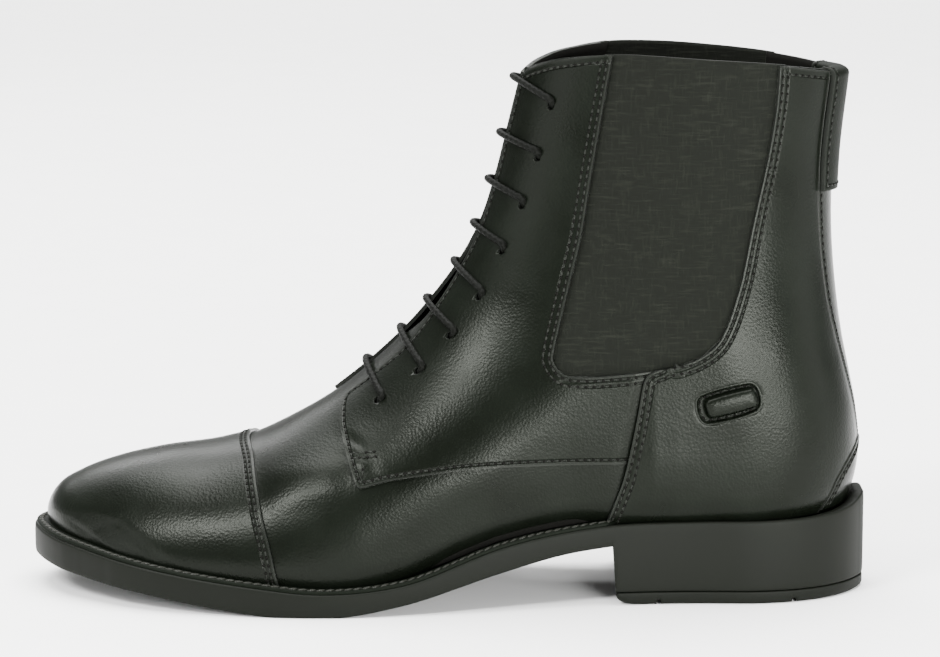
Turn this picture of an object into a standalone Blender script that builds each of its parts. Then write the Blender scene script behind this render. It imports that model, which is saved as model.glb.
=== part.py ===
"""Left ankle boot: laced front, elastic side panels, moulded sole with a low heel.

The toe points to -X, the outer side to -Y, and the boot stands on Z = 0.
Sizes are in millimetres until the meshes are made.
"""

import math

import bmesh
import bpy
import mathutils
import numpy as np

MM = 0.001

# Driving sizes of the boot.
SOLE_LENGTH = 290.0
BALL_WIDTH = 104.0
COLLAR_HEIGHT = 187.0

# Sheet thicknesses and clearances.
GAP = 0.3
WALL = 2.0
PANEL = 1.0
PANEL_TOP = GAP + PANEL
TONGUE = 1.5
ELASTIC = 1.6
INSOLE = 3.0
PAD = 1.6

# The tables below are drawn for these sizes and stretch with the driving ones.
STRETCH = {
    "x": SOLE_LENGTH / 290.0,
    "z": COLLAR_HEIGHT / 187.0,
    "lateral": BALL_WIDTH / 104.0,
    "medial": BALL_WIDTH / 104.0,
    "half": BALL_WIDTH / 104.0,
}


def table(columns, rows):
    """Short table as named columns."""
    names = columns.split()
    return {n: np.array(c, float) * STRETCH.get(n, 1.0) for n, c in zip(names, zip(*rows))}


# Centre line from the toe, over vamp and instep, to the front of the collar. The section under it
# reaches its full width at the depth "round", and "bulge" is how square its shoulder is.
RIDGE = table("x z round bulge", (
    (-138.3, 20.9, 44.0, 2.0),
    (-139.0, 25.0, 44.0, 2.0),
    (-137.7, 29.2, 43.0, 2.0),
    (-134.7, 33.2, 42.0, 2.0),
    (-127.9, 37.3, 40.0, 2.0),
    (-113.9, 42.5, 39.0, 2.05),
    (-100.0, 45.7, 39.0, 2.1),
    (-79.0, 49.0, 40.0, 2.1),
    (-65.2, 53.0, 42.0, 2.1),
    (-51.2, 60.1, 45.0, 2.05),
    (-36.0, 70.0, 49.0, 2.0),
    (-23.5, 80.4, 52.0, 1.95),
    (-10.7, 93.0, 54.0, 1.9),
    (-3.7, 101.5, 55.0, 1.85),
    (5.3, 114.3, 56.0, 1.8),
    (13.0, 131.0, 57.0, 1.75),
    (17.8, 147.7, 58.0, 1.7),
    (20.8, 160.1, 58.0, 1.7),
    (25.2, 178.5, 58.0, 1.65),
))
# Centre line up the back, from the heel seat to the collar.
BACK = table("x z round bulge", (
    (138.2, 32.3, 38.0, 2.1),
    (140.3, 40.0, 39.0, 2.1),
    (141.4, 50.0, 40.0, 2.1),
    (140.6, 62.0, 41.0, 2.1),
    (138.1, 75.0, 43.0, 2.1),
    (135.4, 88.0, 45.0, 2.05),
    (133.0, 104.0, 48.0, 2.0),
    (131.0, 130.0, 52.0, 1.95),
    (131.4, 150.0, 55.0, 1.9),
    (134.4, 180.0, 58.0, 1.9),
))
# Half widths of the foot on either side of its centre line.
PLAN = table("x lateral medial", (
    (-140.0, 35.0, 35.5),
    (-115.0, 40.0, 39.5),
    (-90.0, 45.0, 43.0),
    (-65.0, 49.3, 44.0),
    (-42.0, 50.6, 41.8),
    (-20.0, 48.8, 36.5),
    (5.0, 44.5, 31.0),
    (30.0, 39.0, 27.0),
    (55.0, 34.6, 27.5),
    (80.0, 32.4, 30.5),
    (105.0, 32.2, 32.0),
    (142.0, 32.0, 32.0),
))
# Half widths of ankle and shaft.
SHAFT = table("z lateral medial", (
    (30.0, 33.0, 33.0),
    (90.0, 33.0, 32.0),
    (120.0, 31.5, 31.5),
    (150.0, 32.0, 32.0),
    (188.0, 33.5, 33.5),
))
# Top of the sole's rim, which the upper stands on.
SEAT = table("x z", (
    (-145.0, 21.7),
    (-126.0, 18.5),
    (-100.0, 14.2),
    (-66.0, 10.1),
    (-42.0, 8.0),
    (-16.0, 10.3),
    (18.0, 21.9),
    (52.0, 27.7),
    (86.0, 29.0),
    (112.0, 29.5),
    (126.0, 30.2),
    (138.0, 32.0),
    (145.0, 32.5),
))
# Underside of the sole: toe spring, flat tread and arch, as far as the heel breast.
TREAD = table("x z", (
    (-145.0, 11.6),
    (-138.0, 10.5),
    (-126.0, 8.6),
    (-100.0, 5.2),
    (-78.0, 2.2),
    (-58.0, 0.0),
    (-36.0, 0.0),
    (-16.0, 3.4),
    (18.0, 13.4),
    (40.0, 18.6),
    (57.0, 20.8),
))
# Line of the collar.
COLLAR = table("x z", (
    (25.2, 178.5),
    (28.0, 181.0),
    (34.0, 183.8),
    (46.0, 186.2),
    (57.0, 187.0),
    (70.0, 186.7),
    (88.0, 185.5),
    (112.0, 183.4),
    (124.0, 181.8),
    (134.4, 180.0),
))
# How far the sole stands out past the foot of the upper.
RIM = table("x out", (
    (-145.0, 6.6),
    (-100.0, 5.6),
    (-45.0, 5.5),
    (20.0, 4.6),
    (60.0, 4.0),
    (100.0, 4.2),
    (138.0, 6.6),
))

# Shape of the upper between those lines.
TOE_SWING = 6.0
SWING_START = -35.0
SWING_POWER = 1.6
LEG_FROM = 40.0
LEG_TO = 105.0
TUCK = 1.6
TUCK_HEIGHT = 9.0
TUCK_WIDTH = 10.0
AROUND = 44
ROWS = 14
ROW_CROWD = 1.3
FINE = 400
REACH = 90.0
SOFT_SHARE = 0.7
SOFT_RADIUS = 11.0
SOFT_POINTS = 12
DEPTH_LIMIT = 40.0
DEPTH_STEPS = 80
TAIL = np.arange(0.5, 25.0, 0.5)
PROBE = 0.5

# Heel and sole details.
BREAST_X = 57.0
BREAST_LEAN = 1.2
HEEL_TIP = 4.3
TIP_INSET = 0.2
TIP_CORNER = table("in z", ((0.0, 3.0), (0.8, 1.9), (2.6, 0.8), (5.5, 0.15), (9.0, 0.0)))
TIP_GROOVES = (72.0, 117.0)
GROOVE_WIDTH = 1.4
GROOVE_DEPTH = 1.1
SOLE_EDGE = 0.8
TIP_EDGE = 1.4
SOLE_STATIONS = 40
HEEL_STATIONS = 24
APART = 2.0
TIP = 0.02
WELT = 1.3
WELT_IN = 2.3
WELT_BACK = 1.2
WELT_END_X = 54.0
WELT_POINTS = 92

# Seams of the outer panels, seen from the side.
CAP_SEAM = table("x z", (
    (-69.5, 60.0),
    (-66.6, 48.0),
    (-62.6, 34.2),
    (-59.4, 22.6),
    (-55.5, 5.0),
))
FACING_EDGE = table("x z", (
    (-29.0, 76.0),
    (-34.0, 69.0),
    (-36.3, 63.4),
    (-35.3, 58.5),
    (-33.3, 51.9),
    (-29.8, 42.6),
    (-19.0, 45.2),
    (-5.5, 47.2),
    (7.2, 48.6),
    (31.5, 49.1),
))
QUARTER_SEAM = table("x z", (
    (53.0, 24.0),
    (55.8, 32.9),
    (58.4, 39.8),
    (61.0, 48.9),
    (64.4, 65.3),
    (66.7, 78.7),
))
ELASTIC_EDGE = table("x z", (
    (56.2, 192.0),
    (52.2, 165.7),
    (48.6, 144.4),
    (45.3, 124.2),
    (41.3, 108.0),
    (37.3, 92.0),
    (36.0, 86.0),
    (37.6, 81.4),
    (41.5, 79.2),
    (53.5, 79.1),
    (68.3, 80.5),
    (78.0, 82.3),
    (86.5, 85.9),
    (92.9, 92.3),
    (96.9, 102.5),
    (99.9, 113.3),
    (103.2, 130.4),
    (107.1, 148.5),
    (110.0, 165.6),
    (111.6, 192.0),
))
# Half widths of the throat between the facings, of the slot under it, of the strip up the back and of
# the patch at its foot, each against height.
THROAT = table("z half", (
    (60.0, 18.0),
    (68.0, 14.5),
    (76.0, 11.5),
    (86.0, 9.0),
    (102.0, 6.5),
    (125.0, 4.8),
    (195.0, 4.4),
))
SLOT = table("z half", (
    (81.5, 2.0),
    (83.0, 5.5),
    (90.0, 7.0),
    (102.0, 6.5),
    (125.0, 4.8),
    (195.0, 4.4),
))
STRIP = table("z half", (
    (45.0, 4.0),
    (52.0, 5.5),
    (60.0, 8.0),
    (80.0, 10.8),
    (100.0, 13.2),
    (195.0, 13.4),
))
PATCH = table("z half", (
    (24.0, 21.0),
    (36.0, 20.6),
    (41.0, 19.4),
    (46.0, 16.2),
    (50.0, 11.0),
    (52.3, 5.5),
    (53.2, 1.5),
))
# Corners that close the panel forms well outside the boot.
CAP_REST = table("x z", ((-160.0, 5.0), (-160.0, 60.0)))
FACING_REST = table("x z", ((66.7, 205.0), (-5.0, 205.0), (-60.0, 100.0)))
QUARTER_REST = table("x z", ((67.0, 205.0), (160.0, 205.0), (160.0, 24.0)))
FRONT_SPAN = (-60.0, 70.0)
BACK_SPAN = (100.0, 170.0)
FACING_LOWEST = 3
SIDE_IN = 14.0
MIDDLE_GAP = 0.5

# Lacing: the holes of one facing, and how high its bar rises along the ridge.
LACE_HOLES = table("x z rise", (
    (35.9, 169.1, 5.3),
    (31.6, 151.7, 3.6),
    (26.2, 134.9, 3.8),
    (19.5, 119.4, 3.0),
    (11.6, 103.5, 3.3),
    (1.8, 90.4, 2.4),
    (-9.5, 78.4, 3.4),
    (-23.4, 68.3, 3.2),
))
LACE_WIDTH = 2.3
LACE_SIDES = 6
BAR_POINTS = 9
BAR_LIFT = 0.45
LINK_SIDE = 2.0
LINK_SUNK = 0.2

# Tongue, pull tab and spur rest.
TONGUE_HALF = 18.0
TONGUE_EDGE = table("x z", (
    (-38.0, 50.0),
    (10.0, 70.0),
    (34.0, 110.0),
    (50.0, 173.0),
    (0.0, 173.0),
    (-25.0, 110.0),
    (-38.0, 90.0),
))
TAB_HALF = 13.0
TAB_LOW = 139.5
TAB_IN_LOW = 160.0
TAB_THICK = 1.8
TAB_STATIONS = 7
TAB_ROWS = 5
SPUR_X = 95.2
SPUR_Z = 69.6
SPUR_LENGTH = 22.5
SPUR_WIDTH = 11.5
SPUR_TILT = math.radians(13.0)
SPUR_POINTS = 8

# Colours (linear), roughness and metallic of the materials.
FINISH = {
    "black_leather": ((0.020, 0.021, 0.018), 0.42, 0.0),
    "dark_lining": ((0.013, 0.013, 0.011), 0.75, 0.0),
    "black_elastic": ((0.015, 0.016, 0.013), 0.85, 0.0),
    "black_rubber": ((0.022, 0.023, 0.020), 0.55, 0.0),
    "black_cord": ((0.017, 0.018, 0.016), 0.8, 0.0),
}


def curve(xs, ys, x):
    """Smooth curve through a table's points."""
    slope = np.gradient(ys, xs)
    i = np.clip(np.searchsorted(xs, x) - 1, 0, len(xs) - 2)
    wide = xs[i + 1] - xs[i]
    t = np.clip((x - xs[i]) / wide, 0.0, 1.0)
    rise = ys[i + 1] - ys[i]
    start = slope[i] * wide - rise
    end = rise - slope[i + 1] * wide
    return ys[i] + rise * t + t * (1 - t) * ((1 - t) * start + t * end)


def profile(rows, inside):
    """A centre line, closely sampled by its length and carried straight on past both ends."""
    run = np.hypot(np.diff(rows["x"]), np.diff(rows["z"]))
    length = np.concatenate([[0.0], np.cumsum(run)])
    s = np.linspace(0.0, length[-1], FINE)
    line = {name: curve(length, rows[name], s) for name in rows}
    for name in ("x", "z"):
        first = line[name][0] - (line[name][1] - line[name][0]) / s[1] * TAIL[::-1]
        last = line[name][-1] + (line[name][-1] - line[name][-2]) / s[1] * TAIL
        line[name] = np.concatenate([first, line[name], last])
    for name in ("round", "bulge"):
        line[name] = np.pad(line[name], len(TAIL), "edge")
    line["s"] = np.concatenate([-TAIL[::-1], s, s[-1] + TAIL])
    line["length"] = s[-1]
    line["inside"] = inside
    along = np.stack([np.gradient(line["x"], line["s"]), np.gradient(line["z"], line["s"])])
    line["along_x"], line["along_z"] = along / np.hypot(*along)
    return line


RIDGE_LINE = profile(RIDGE, 1.0)
BACK_LINE = profile(BACK, -1.0)


def seat(x):
    return curve(SEAT["x"], SEAT["z"], x)


def shoulder(depth, bulge):
    """Share of the full width at a depth below a centre line."""
    t = np.clip(depth, 0.0, 1.0)
    return (1 - (1 - t) ** bulge) ** (1 / bulge)


def depth_at(line, x, z):
    """Depth below a centre line, as a share of its round, the bulge there and the plain depth."""
    away = np.hypot(x[..., None] - line["x"], z[..., None] - line["z"])
    i = away.argmin(-1)
    across = (x - line["x"][i]) * line["along_z"][i] - (z - line["z"][i]) * line["along_x"][i]
    depth = across * line["inside"]
    return depth / line["round"][i], line["bulge"][i], depth


def depth_under(line, x, z):
    """Depth and bulge, evened out over a small circle so that no crease runs round the toe."""
    share, bulge, depth = depth_at(line, x, z)
    radius = np.clip(depth * SOFT_SHARE, 0.0, SOFT_RADIUS)
    for turn in np.arange(SOFT_POINTS) * 2 * math.pi / SOFT_POINTS:
        more = depth_at(line, x + radius * math.cos(turn), z + radius * math.sin(turn))
        share = share + more[0]
        bulge = bulge + more[1]
    return share / (SOFT_POINTS + 1), bulge / (SOFT_POINTS + 1)


def full_width(x, z, side):
    t = np.clip((z - LEG_FROM) / (LEG_TO - LEG_FROM), 0.0, 1.0)
    leg = t * t * (3 - 2 * t)
    foot_half = curve(PLAN["x"], PLAN[side], x)
    leg_half = curve(SHAFT["z"], SHAFT[side], z)
    return foot_half * (1 - leg) + leg_half * leg


def half_width(x, z, side):
    """Half width of the upper at a point of its side view."""
    half = full_width(x, z, side)
    half = half * shoulder(*depth_under(RIDGE_LINE, x, z)) * shoulder(*depth_under(BACK_LINE, x, z))
    low = np.clip(1 - (z - seat(x)) / TUCK_HEIGHT, 0.0, 1.0)
    return half - TUCK * low ** 2 * np.clip(half / TUCK_WIDTH, 0.0, 1.0)


def swing(x):
    """Sideways bend of the centre line toward the inner side at the toe."""
    t = np.clip((SWING_START - x) / (SWING_START - RIDGE["x"].min()), 0.0, 1.0)
    return TOE_SWING * t ** SWING_POWER


def along_line(line, s):
    """Point of a centre line at a length along it."""
    return np.stack([np.interp(s, line["s"], line[k]) for k in "xz"], -1)


def side_view(a, v):
    """Point of the side view: a runs from the ridge to the back, v from the sole to the collar."""
    ridge = along_line(RIDGE_LINE, v * RIDGE_LINE["length"])
    back = along_line(BACK_LINE, v * BACK_LINE["length"])
    toe, front = (np.array([RIDGE["x"][i], RIDGE["z"][i]]) for i in (0, -1))
    heel, rear = (np.array([BACK["x"][i], BACK["z"][i]]) for i in (0, -1))
    low_x = toe[0] + (heel[0] - toe[0]) * a
    low = np.stack([low_x, seat(low_x) + GAP], -1)
    top_x = front[0] + (rear[0] - front[0]) * a
    top = np.stack([top_x, curve(COLLAR["x"], COLLAR["z"], top_x)], -1)
    a = a[..., None]
    v = v[..., None]
    sides = (1 - a) * ridge + a * back
    ends = (1 - v) * low + v * top
    corners = (1 - v) * ((1 - a) * toe + a * heel) + v * ((1 - a) * front + a * rear)
    return sides + ends - corners


def upper_rings():
    """Rings of points around the upper, one row above the other."""
    turn = np.arange(AROUND) * 2 * math.pi / AROUND
    rise = (np.arange(ROWS + 1) / ROWS) ** ROW_CROWD
    turn, rise = np.meshgrid(turn, rise)
    point = side_view((1 - np.cos(turn)) / 2, rise)
    x, z = point[..., 0], point[..., 1]
    outer = np.sin(turn) >= 0
    half = np.where(outer, -half_width(x, z, "lateral"), half_width(x, z, "medial"))
    on_line = np.abs(np.sin(turn)) < 1e-9
    y = swing(x) + np.where(on_line, 0.0, half)
    return np.stack([x, y, z], -1)


def foot_outline(points):
    """Closed plan line of the foot of the upper, from the toe round the outer side."""
    turn = np.arange(points) * 2 * math.pi / points
    point = side_view((1 - np.cos(turn)) / 2, np.zeros(points))
    x, z = point[..., 0], point[..., 1]
    half = np.where(np.sin(turn) >= 0, -half_width(x, z, "lateral"), half_width(x, z, "medial"))
    return np.stack([x, swing(x) + half], -1)


def grow_outline(line, out):
    """Plan line moved outward by a distance at each point."""
    ahead = np.roll(line, -1, 0) - np.roll(line, 1, 0)
    normal = np.stack([-ahead[:, 1], ahead[:, 0]], -1)
    normal = normal / np.linalg.norm(normal, axis=1)[:, None]
    centre = line.mean(0)
    facing_out = np.sign(((line - centre) * normal).sum(1).sum())
    return line + normal * facing_out * np.asarray(out)[..., None]


FOOT_LINE = foot_outline(FINE)
RIM_LINE = grow_outline(FOOT_LINE, curve(RIM["x"], RIM["out"], FOOT_LINE[:, 0]))
UPPER_RINGS = upper_rings()
# The boot is set so that the middle of the sole's width lies on Y = 0.
MIDDLE_Y = (RIM_LINE[:, 1].min() + RIM_LINE[:, 1].max()) / 2


def sides_at(line, xs):
    """Outer and inner Y of a closed plan line at given X."""
    tip = line[:, 0].argmin()
    end = line[:, 0].argmax()
    line = np.roll(line, -tip, 0)
    end = (end - tip) % len(line)
    one = line[:end + 1]
    two = np.vstack([line[end:], line[:1]])[::-1]
    y_one = np.interp(xs, one[:, 0], one[:, 1])
    y_two = np.interp(xs, two[:, 0], two[:, 1])
    return np.minimum(y_one, y_two), np.maximum(y_one, y_two)


def clear_scene():
    for old in list(bpy.data.objects):
        bpy.data.objects.remove(old, do_unlink=True)


def make_collection(name):
    group = bpy.data.collections.new(name)
    bpy.context.scene.collection.children.link(group)
    return group


def make_material(name):
    colour, roughness, metallic = FINISH[name]
    material = bpy.data.materials.new(name)
    material.use_nodes = True
    shader = material.node_tree.nodes["Principled BSDF"]
    shader.inputs["Base Color"].default_value = (*colour, 1.0)
    shader.inputs["Roughness"].default_value = roughness
    shader.inputs["Metallic"].default_value = metallic
    return material


def add_object(name, bm, group, material=None, smooth=False):
    """Object from a bmesh drawn in millimetres."""
    bmesh.ops.translate(bm, vec=(0.0, -MIDDLE_Y, 0.0), verts=bm.verts)
    bmesh.ops.scale(bm, vec=(MM, MM, MM), verts=bm.verts)
    bmesh.ops.recalc_face_normals(bm, faces=bm.faces)
    for face in bm.faces:
        face.smooth = smooth
    mesh = bpy.data.meshes.new(name)
    bm.to_mesh(mesh)
    bm.free()
    if material:
        mesh.materials.append(material)
    thing = bpy.data.objects.new(name, mesh)
    group.objects.link(thing)
    return thing


def loft(rings, closed_rings=True, capped=True):
    """Skin over rows of points, as a bmesh."""
    bm = bmesh.new()
    rows = [[bm.verts.new(p) for p in ring] for ring in rings]
    count = len(rows[0])
    last = count if closed_rings else count - 1
    for low, high in zip(rows, rows[1:]):
        for i in range(last):
            j = (i + 1) % count
            bm.faces.new((low[i], low[j], high[j], high[i]))
    if capped:
        bm.faces.new(rows[0])
        bm.faces.new(rows[-1])
    return bm


def prism(name, outline, axis, low, high, group):
    """Cutter: a closed outline pushed along an axis."""
    bm = bmesh.new()
    verts = [bm.verts.new(np.insert(p, axis, low)) for p in outline]
    face = bm.faces.new(verts)
    pushed = bmesh.ops.extrude_face_region(bm, geom=[face])
    move = np.zeros(3)
    move[axis] = high - low
    ends = [v for v in pushed["geom"] if isinstance(v, bmesh.types.BMVert)]
    bmesh.ops.translate(bm, vec=move, verts=ends)
    cutter = add_object(name, bm, group)
    cutter.hide_render = True
    cutter.display_type = "WIRE"
    return cutter


def cut(thing, cutter, operation="DIFFERENCE"):
    step = thing.modifiers.new(cutter.name, "BOOLEAN")
    step.operation = operation
    step.solver = "EXACT"
    step.object = cutter


def baked(thing):
    """Mesh of an object with its modifiers worked in."""
    bpy.context.view_layer.update()
    graph = bpy.context.evaluated_depsgraph_get()
    return bpy.data.meshes.new_from_object(thing.evaluated_get(graph))


def skin(name, low, high, group, material):
    """Sheet that follows the upper between two heights over its surface and stands clear of the sole."""
    surface = loft(UPPER_RINGS, capped=False)
    bmesh.ops.triangulate(surface, faces=surface.faces, quad_method="SHORT_EDGE")
    thing = add_object(name, surface, group, material, True)
    sheet = thing.modifiers.new("sheet", "SOLIDIFY")
    sheet.thickness = (high - low) * MM
    sheet.offset = 1 + 2 * low / (high - low)
    sheet.use_even_offset = True
    thing.data = baked(thing)
    thing.modifiers.clear()
    floor = rim_top(np.array([vert.co.x for vert in thing.data.vertices]) / MM) + GAP
    for vert, low_z in zip(thing.data.vertices, floor):
        vert.co.z = max(vert.co.z, low_z * MM)
    return thing


def points_of(rows, first="x", second="z"):
    return np.stack([rows[first], rows[second]], -1)


def smooth_line(rows, share=3):
    """Outline through a table's rows with extra points between them."""
    raw = points_of(rows)
    run = np.concatenate([[0.0], np.cumsum(np.linalg.norm(np.diff(raw, axis=0), axis=1))])
    s = np.interp(np.arange((len(raw) - 1) * share + 1) / share, np.arange(len(raw)), run)
    return np.stack([curve(run, raw[:, i], s) for i in (0, 1)], -1)


def band(rows, extra=0.0):
    """Closed outline, the same on both sides, from half widths against height."""
    half = rows["half"] + extra
    right = np.stack([half, rows["z"]], -1)
    left = np.stack([-half, rows["z"]], -1)[::-1]
    return np.vstack([right, left])


def shift_outline(line, out):
    """Side outline moved outward by a set distance."""
    return grow_outline(line, np.full(len(line), out))


def make_cutters(group):
    """Forms that part the upper's skin into its panels."""
    elastic = smooth_line(ELASTIC_EDGE, 2)
    facing = np.vstack([
        smooth_line(FACING_EDGE, 2),
        points_of(QUARTER_SEAM)[FACING_LOWEST:] - (GAP / 2, 0.0),
        points_of(FACING_REST),
    ])
    quarter = np.vstack([points_of(QUARTER_SEAM) + (GAP / 2, 0.0), points_of(QUARTER_REST)])
    cap = np.vstack([points_of(CAP_SEAM), points_of(CAP_REST)])
    patch_room = shift_outline(band(PATCH), GAP)
    turn = np.linspace(-math.pi / 2, math.pi / 2, SPUR_POINTS)
    ends = SPUR_WIDTH / 2 * np.stack([np.cos(turn), np.sin(turn)], -1)
    ends[:, 0] += (SPUR_LENGTH - SPUR_WIDTH) / 2
    oblong = np.vstack([ends, -ends])
    lean = np.array(mathutils.Matrix.Rotation(-SPUR_TILT, 2))
    oblong = oblong @ lean + (SPUR_X, SPUR_Z)
    forms = {
        "cap_form": prism("cap_form", cap, 1, -REACH, REACH, group),
        "throat_form": prism("throat_form", band(THROAT), 0, *FRONT_SPAN, group),
        "slot_form": prism("slot_form", band(SLOT), 0, *FRONT_SPAN, group),
        "strip_form": prism("strip_form", band(STRIP), 0, *BACK_SPAN, group),
        "strip_room": prism("strip_room", band(STRIP, GAP), 0, *BACK_SPAN, group),
        "patch_form": prism("patch_form", band(PATCH), 0, *BACK_SPAN, group),
        "patch_room": prism("patch_room", patch_room, 0, *BACK_SPAN, group),
        "tongue_form": prism("tongue_form", points_of(TONGUE_EDGE), 1, -TONGUE_HALF, TONGUE_HALF, group),
    }
    spans = {
        "lateral": ((-REACH, -MIDDLE_GAP), (-REACH, -SIDE_IN)),
        "medial": ((MIDDLE_GAP, REACH), (SIDE_IN, REACH)),
    }
    insert = shift_outline(elastic, -GAP)
    for side, (half, window) in spans.items():
        forms["facing_" + side] = prism("facing_form_" + side, facing, 1, *half, group)
        forms["quarter_" + side] = prism("quarter_form_" + side, quarter, 1, *half, group)
        forms["window_" + side] = prism("window_form_" + side, elastic, 1, *window, group)
        forms["elastic_" + side] = prism("elastic_form_" + side, insert, 1, *window, group)
        forms["spur_" + side] = prism("spur_form_" + side, oblong, 1, *window, group)
    return forms


def section(y_low, y_high, z_low, z_high, edge):
    """Cross-section of a sole layer with its corners taken off."""
    e = min(edge, (y_high - y_low) / 4, (z_high - z_low) / 4)
    return (
        (y_low, z_high - e), (y_low + e, z_high), (y_high - e, z_high), (y_high, z_high - e),
        (y_high, z_low + e), (y_high - e, z_low), (y_low + e, z_low), (y_low, z_low + e),
    )


def layer(xs, line, low, high, edge):
    """Sole layer between two heights, as a loft of cross-sections along X."""
    y_low, y_high = sides_at(line, xs)
    rings = []
    for x, y0, y1, z0, z1 in zip(xs, y_low, y_high, low, high):
        rings.append([(x, y, z) for y, z in section(y0, y1, z0, z1, edge)])
    return loft(rings)


def end_crowd(start, end, count):
    """Stations along X, closer together at both round ends."""
    t = (1 - np.cos(np.linspace(0.0, math.pi, count))) / 2
    return start + (end - start) * t


def sole_stations(line):
    """Stations of the sole along X, with one on either side of the heel breast."""
    toe, back = line[:, 0].min() + TIP, line[:, 0].max() - TIP
    front = end_crowd(toe, BREAST_X * 2 - toe, SOLE_STATIONS)
    front = np.append(front[front < BREAST_X - BREAST_LEAN - APART], BREAST_X - BREAST_LEAN)
    rear = end_crowd(BREAST_X * 2 - back, back, HEEL_STATIONS)
    rear = np.insert(rear[rear > BREAST_X + APART], 0, BREAST_X)
    return np.concatenate([front, rear])


STATIONS = sole_stations(RIM_LINE)


def rim_top(x):
    """Height of the sole's top between its stations."""
    return np.interp(x, STATIONS, seat(STATIONS))


def make_outsole(group, material):
    tread = np.maximum(curve(TREAD["x"], TREAD["z"], STATIONS), 0.0)
    low = np.where(STATIONS < BREAST_X, tread, HEEL_TIP + GAP)
    body = layer(STATIONS, RIM_LINE, low, seat(STATIONS), SOLE_EDGE)
    return add_object("outsole", body, group, material)


def make_heel_tip(group, cutters, material):
    line = grow_outline(RIM_LINE, np.full(FINE, -TIP_INSET))
    corner = BREAST_X + TIP_INSET + TIP_CORNER["in"]
    xs = sole_stations(line)
    xs = np.concatenate([corner, xs[xs > corner[-1] + APART]])
    low = np.interp(xs, corner, TIP_CORNER["z"])
    body = layer(xs, line, low, np.full(len(xs), HEEL_TIP), TIP_EDGE)
    tip = add_object("heel_tip", body, group, material)
    half, deep = GROOVE_WIDTH / 2, GROOVE_DEPTH
    groove = np.array([(-half, -deep), (half, -deep), (half, deep), (-half, deep)])
    for i, x in enumerate(TIP_GROOVES):
        cut(tip, prism(f"groove_form_{i + 1}", groove + (x, 0.0), 1, -REACH, REACH, cutters))
    return tip


def make_welt(group, material):
    """Strip on the rim from one end of the heel round the toe to the other."""
    foot = foot_outline(WELT_POINTS)
    inner = grow_outline(foot, np.full(len(foot), WELT_IN))
    outer = grow_outline(foot, curve(RIM["x"], RIM["out"], foot[:, 0]) - WELT_BACK)
    order = np.argsort((np.arange(len(foot)) + len(foot) // 2) % len(foot))
    order = [i for i in order if foot[i, 0] < WELT_END_X]
    corners = ((inner, 0.0), (inner, WELT), (outer, WELT), (outer, 0.0))
    rows = [(line[order], rim_top(line[order, 0]) + GAP + up) for line, up in corners]
    rings = [[(*flat[i], z[i]) for flat, z in rows] for i in range(len(order))]
    return add_object("welt", loft(rings), group, material)


def make_insole(group, material):
    line = grow_outline(FOOT_LINE, np.full(FINE, -(WALL + 2 * GAP)))
    toe, back = line[:, 0].min() + GAP, line[:, 0].max() - GAP
    between = (STATIONS > toe + APART / 2) & (STATIONS < back - APART / 2)
    xs = np.concatenate([[toe], STATIONS[between], [back]])
    low = rim_top(xs) + GAP
    return add_object("insole", layer(xs, line, low, low + INSOLE, SOLE_EDGE), group, material)


def make_upper(group, forms, material):
    upper = skin("upper", -WALL, 0.0, group, material)
    cut(upper, forms["slot_form"])
    for side in ("lateral", "medial"):
        cut(upper, forms["window_" + side])
    return upper


def make_panels(group, forms, material):
    """Cap, facings, quarters, strip and patch, each cut from the upper's own skin."""
    cap = skin("toe_cap", GAP, PANEL_TOP, group, material)
    cut(cap, forms["cap_form"], "INTERSECT")
    strip = skin("back_strip", GAP, PANEL_TOP, group, material)
    cut(strip, forms["strip_form"], "INTERSECT")
    cut(strip, forms["patch_room"])
    patch = skin("heel_patch", GAP, PANEL_TOP, group, material)
    cut(patch, forms["patch_form"], "INTERSECT")
    for side in ("lateral", "medial"):
        facing = skin("facing_" + side, GAP, PANEL_TOP, group, material)
        cut(facing, forms["facing_" + side], "INTERSECT")
        cut(facing, forms["throat_form"])
        cut(facing, forms["window_" + side])
        quarter = skin("quarter_" + side, GAP, PANEL_TOP, group, material)
        cut(quarter, forms["quarter_" + side], "INTERSECT")
        cut(quarter, forms["window_" + side])
        cut(quarter, forms["strip_room"])
        cut(quarter, forms["patch_room"])
        spur = skin("spur_rest_" + side, PANEL_TOP + GAP, PANEL_TOP + GAP + PAD, group, material)
        cut(spur, forms["spur_" + side], "INTERSECT")


def make_gussets(group, forms, material):
    for side in ("lateral", "medial"):
        gusset = skin("gusset_" + side, -ELASTIC, 0.0, group, material)
        cut(gusset, forms["elastic_" + side], "INTERSECT")


def make_tongue(group, forms, material):
    top = -WALL - GAP
    tongue = skin("tongue", top - TONGUE, top, group, material)
    cut(tongue, forms["tongue_form"], "INTERSECT")
    return tongue


def over_surface(start, inward, y, out):
    """Point over the upper at a side offset y: found inward from a centre line, then moved out."""
    side = "lateral" if y < 0 else "medial"
    depth = np.linspace(0.0, DEPTH_LIMIT ** 0.5, DEPTH_STEPS) ** 2
    x = start[0] + inward[0] * depth
    z = start[1] + inward[1] * depth
    half = np.maximum.accumulate(half_width(x, z, side))
    before, at, after = (np.interp(abs(abs(y) + d), half, depth) for d in (-PROBE, 0.0, PROBE))
    tilt = math.atan2(after - before, 2 * PROBE) if abs(y) > PROBE else 0.0
    at = at - out * math.cos(tilt)
    x = start[0] + inward[0] * at
    aside = math.copysign(1.0, y) * out * math.sin(tilt)
    return (x, swing(x) + y + aside, start[1] + inward[1] * at)


def back_point(y, z, out):
    """Point over the back of the upper at a height."""
    return over_surface((np.interp(z, BACK_LINE["z"], BACK_LINE["x"]), z), (-1.0, 0.0), y, out)


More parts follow.
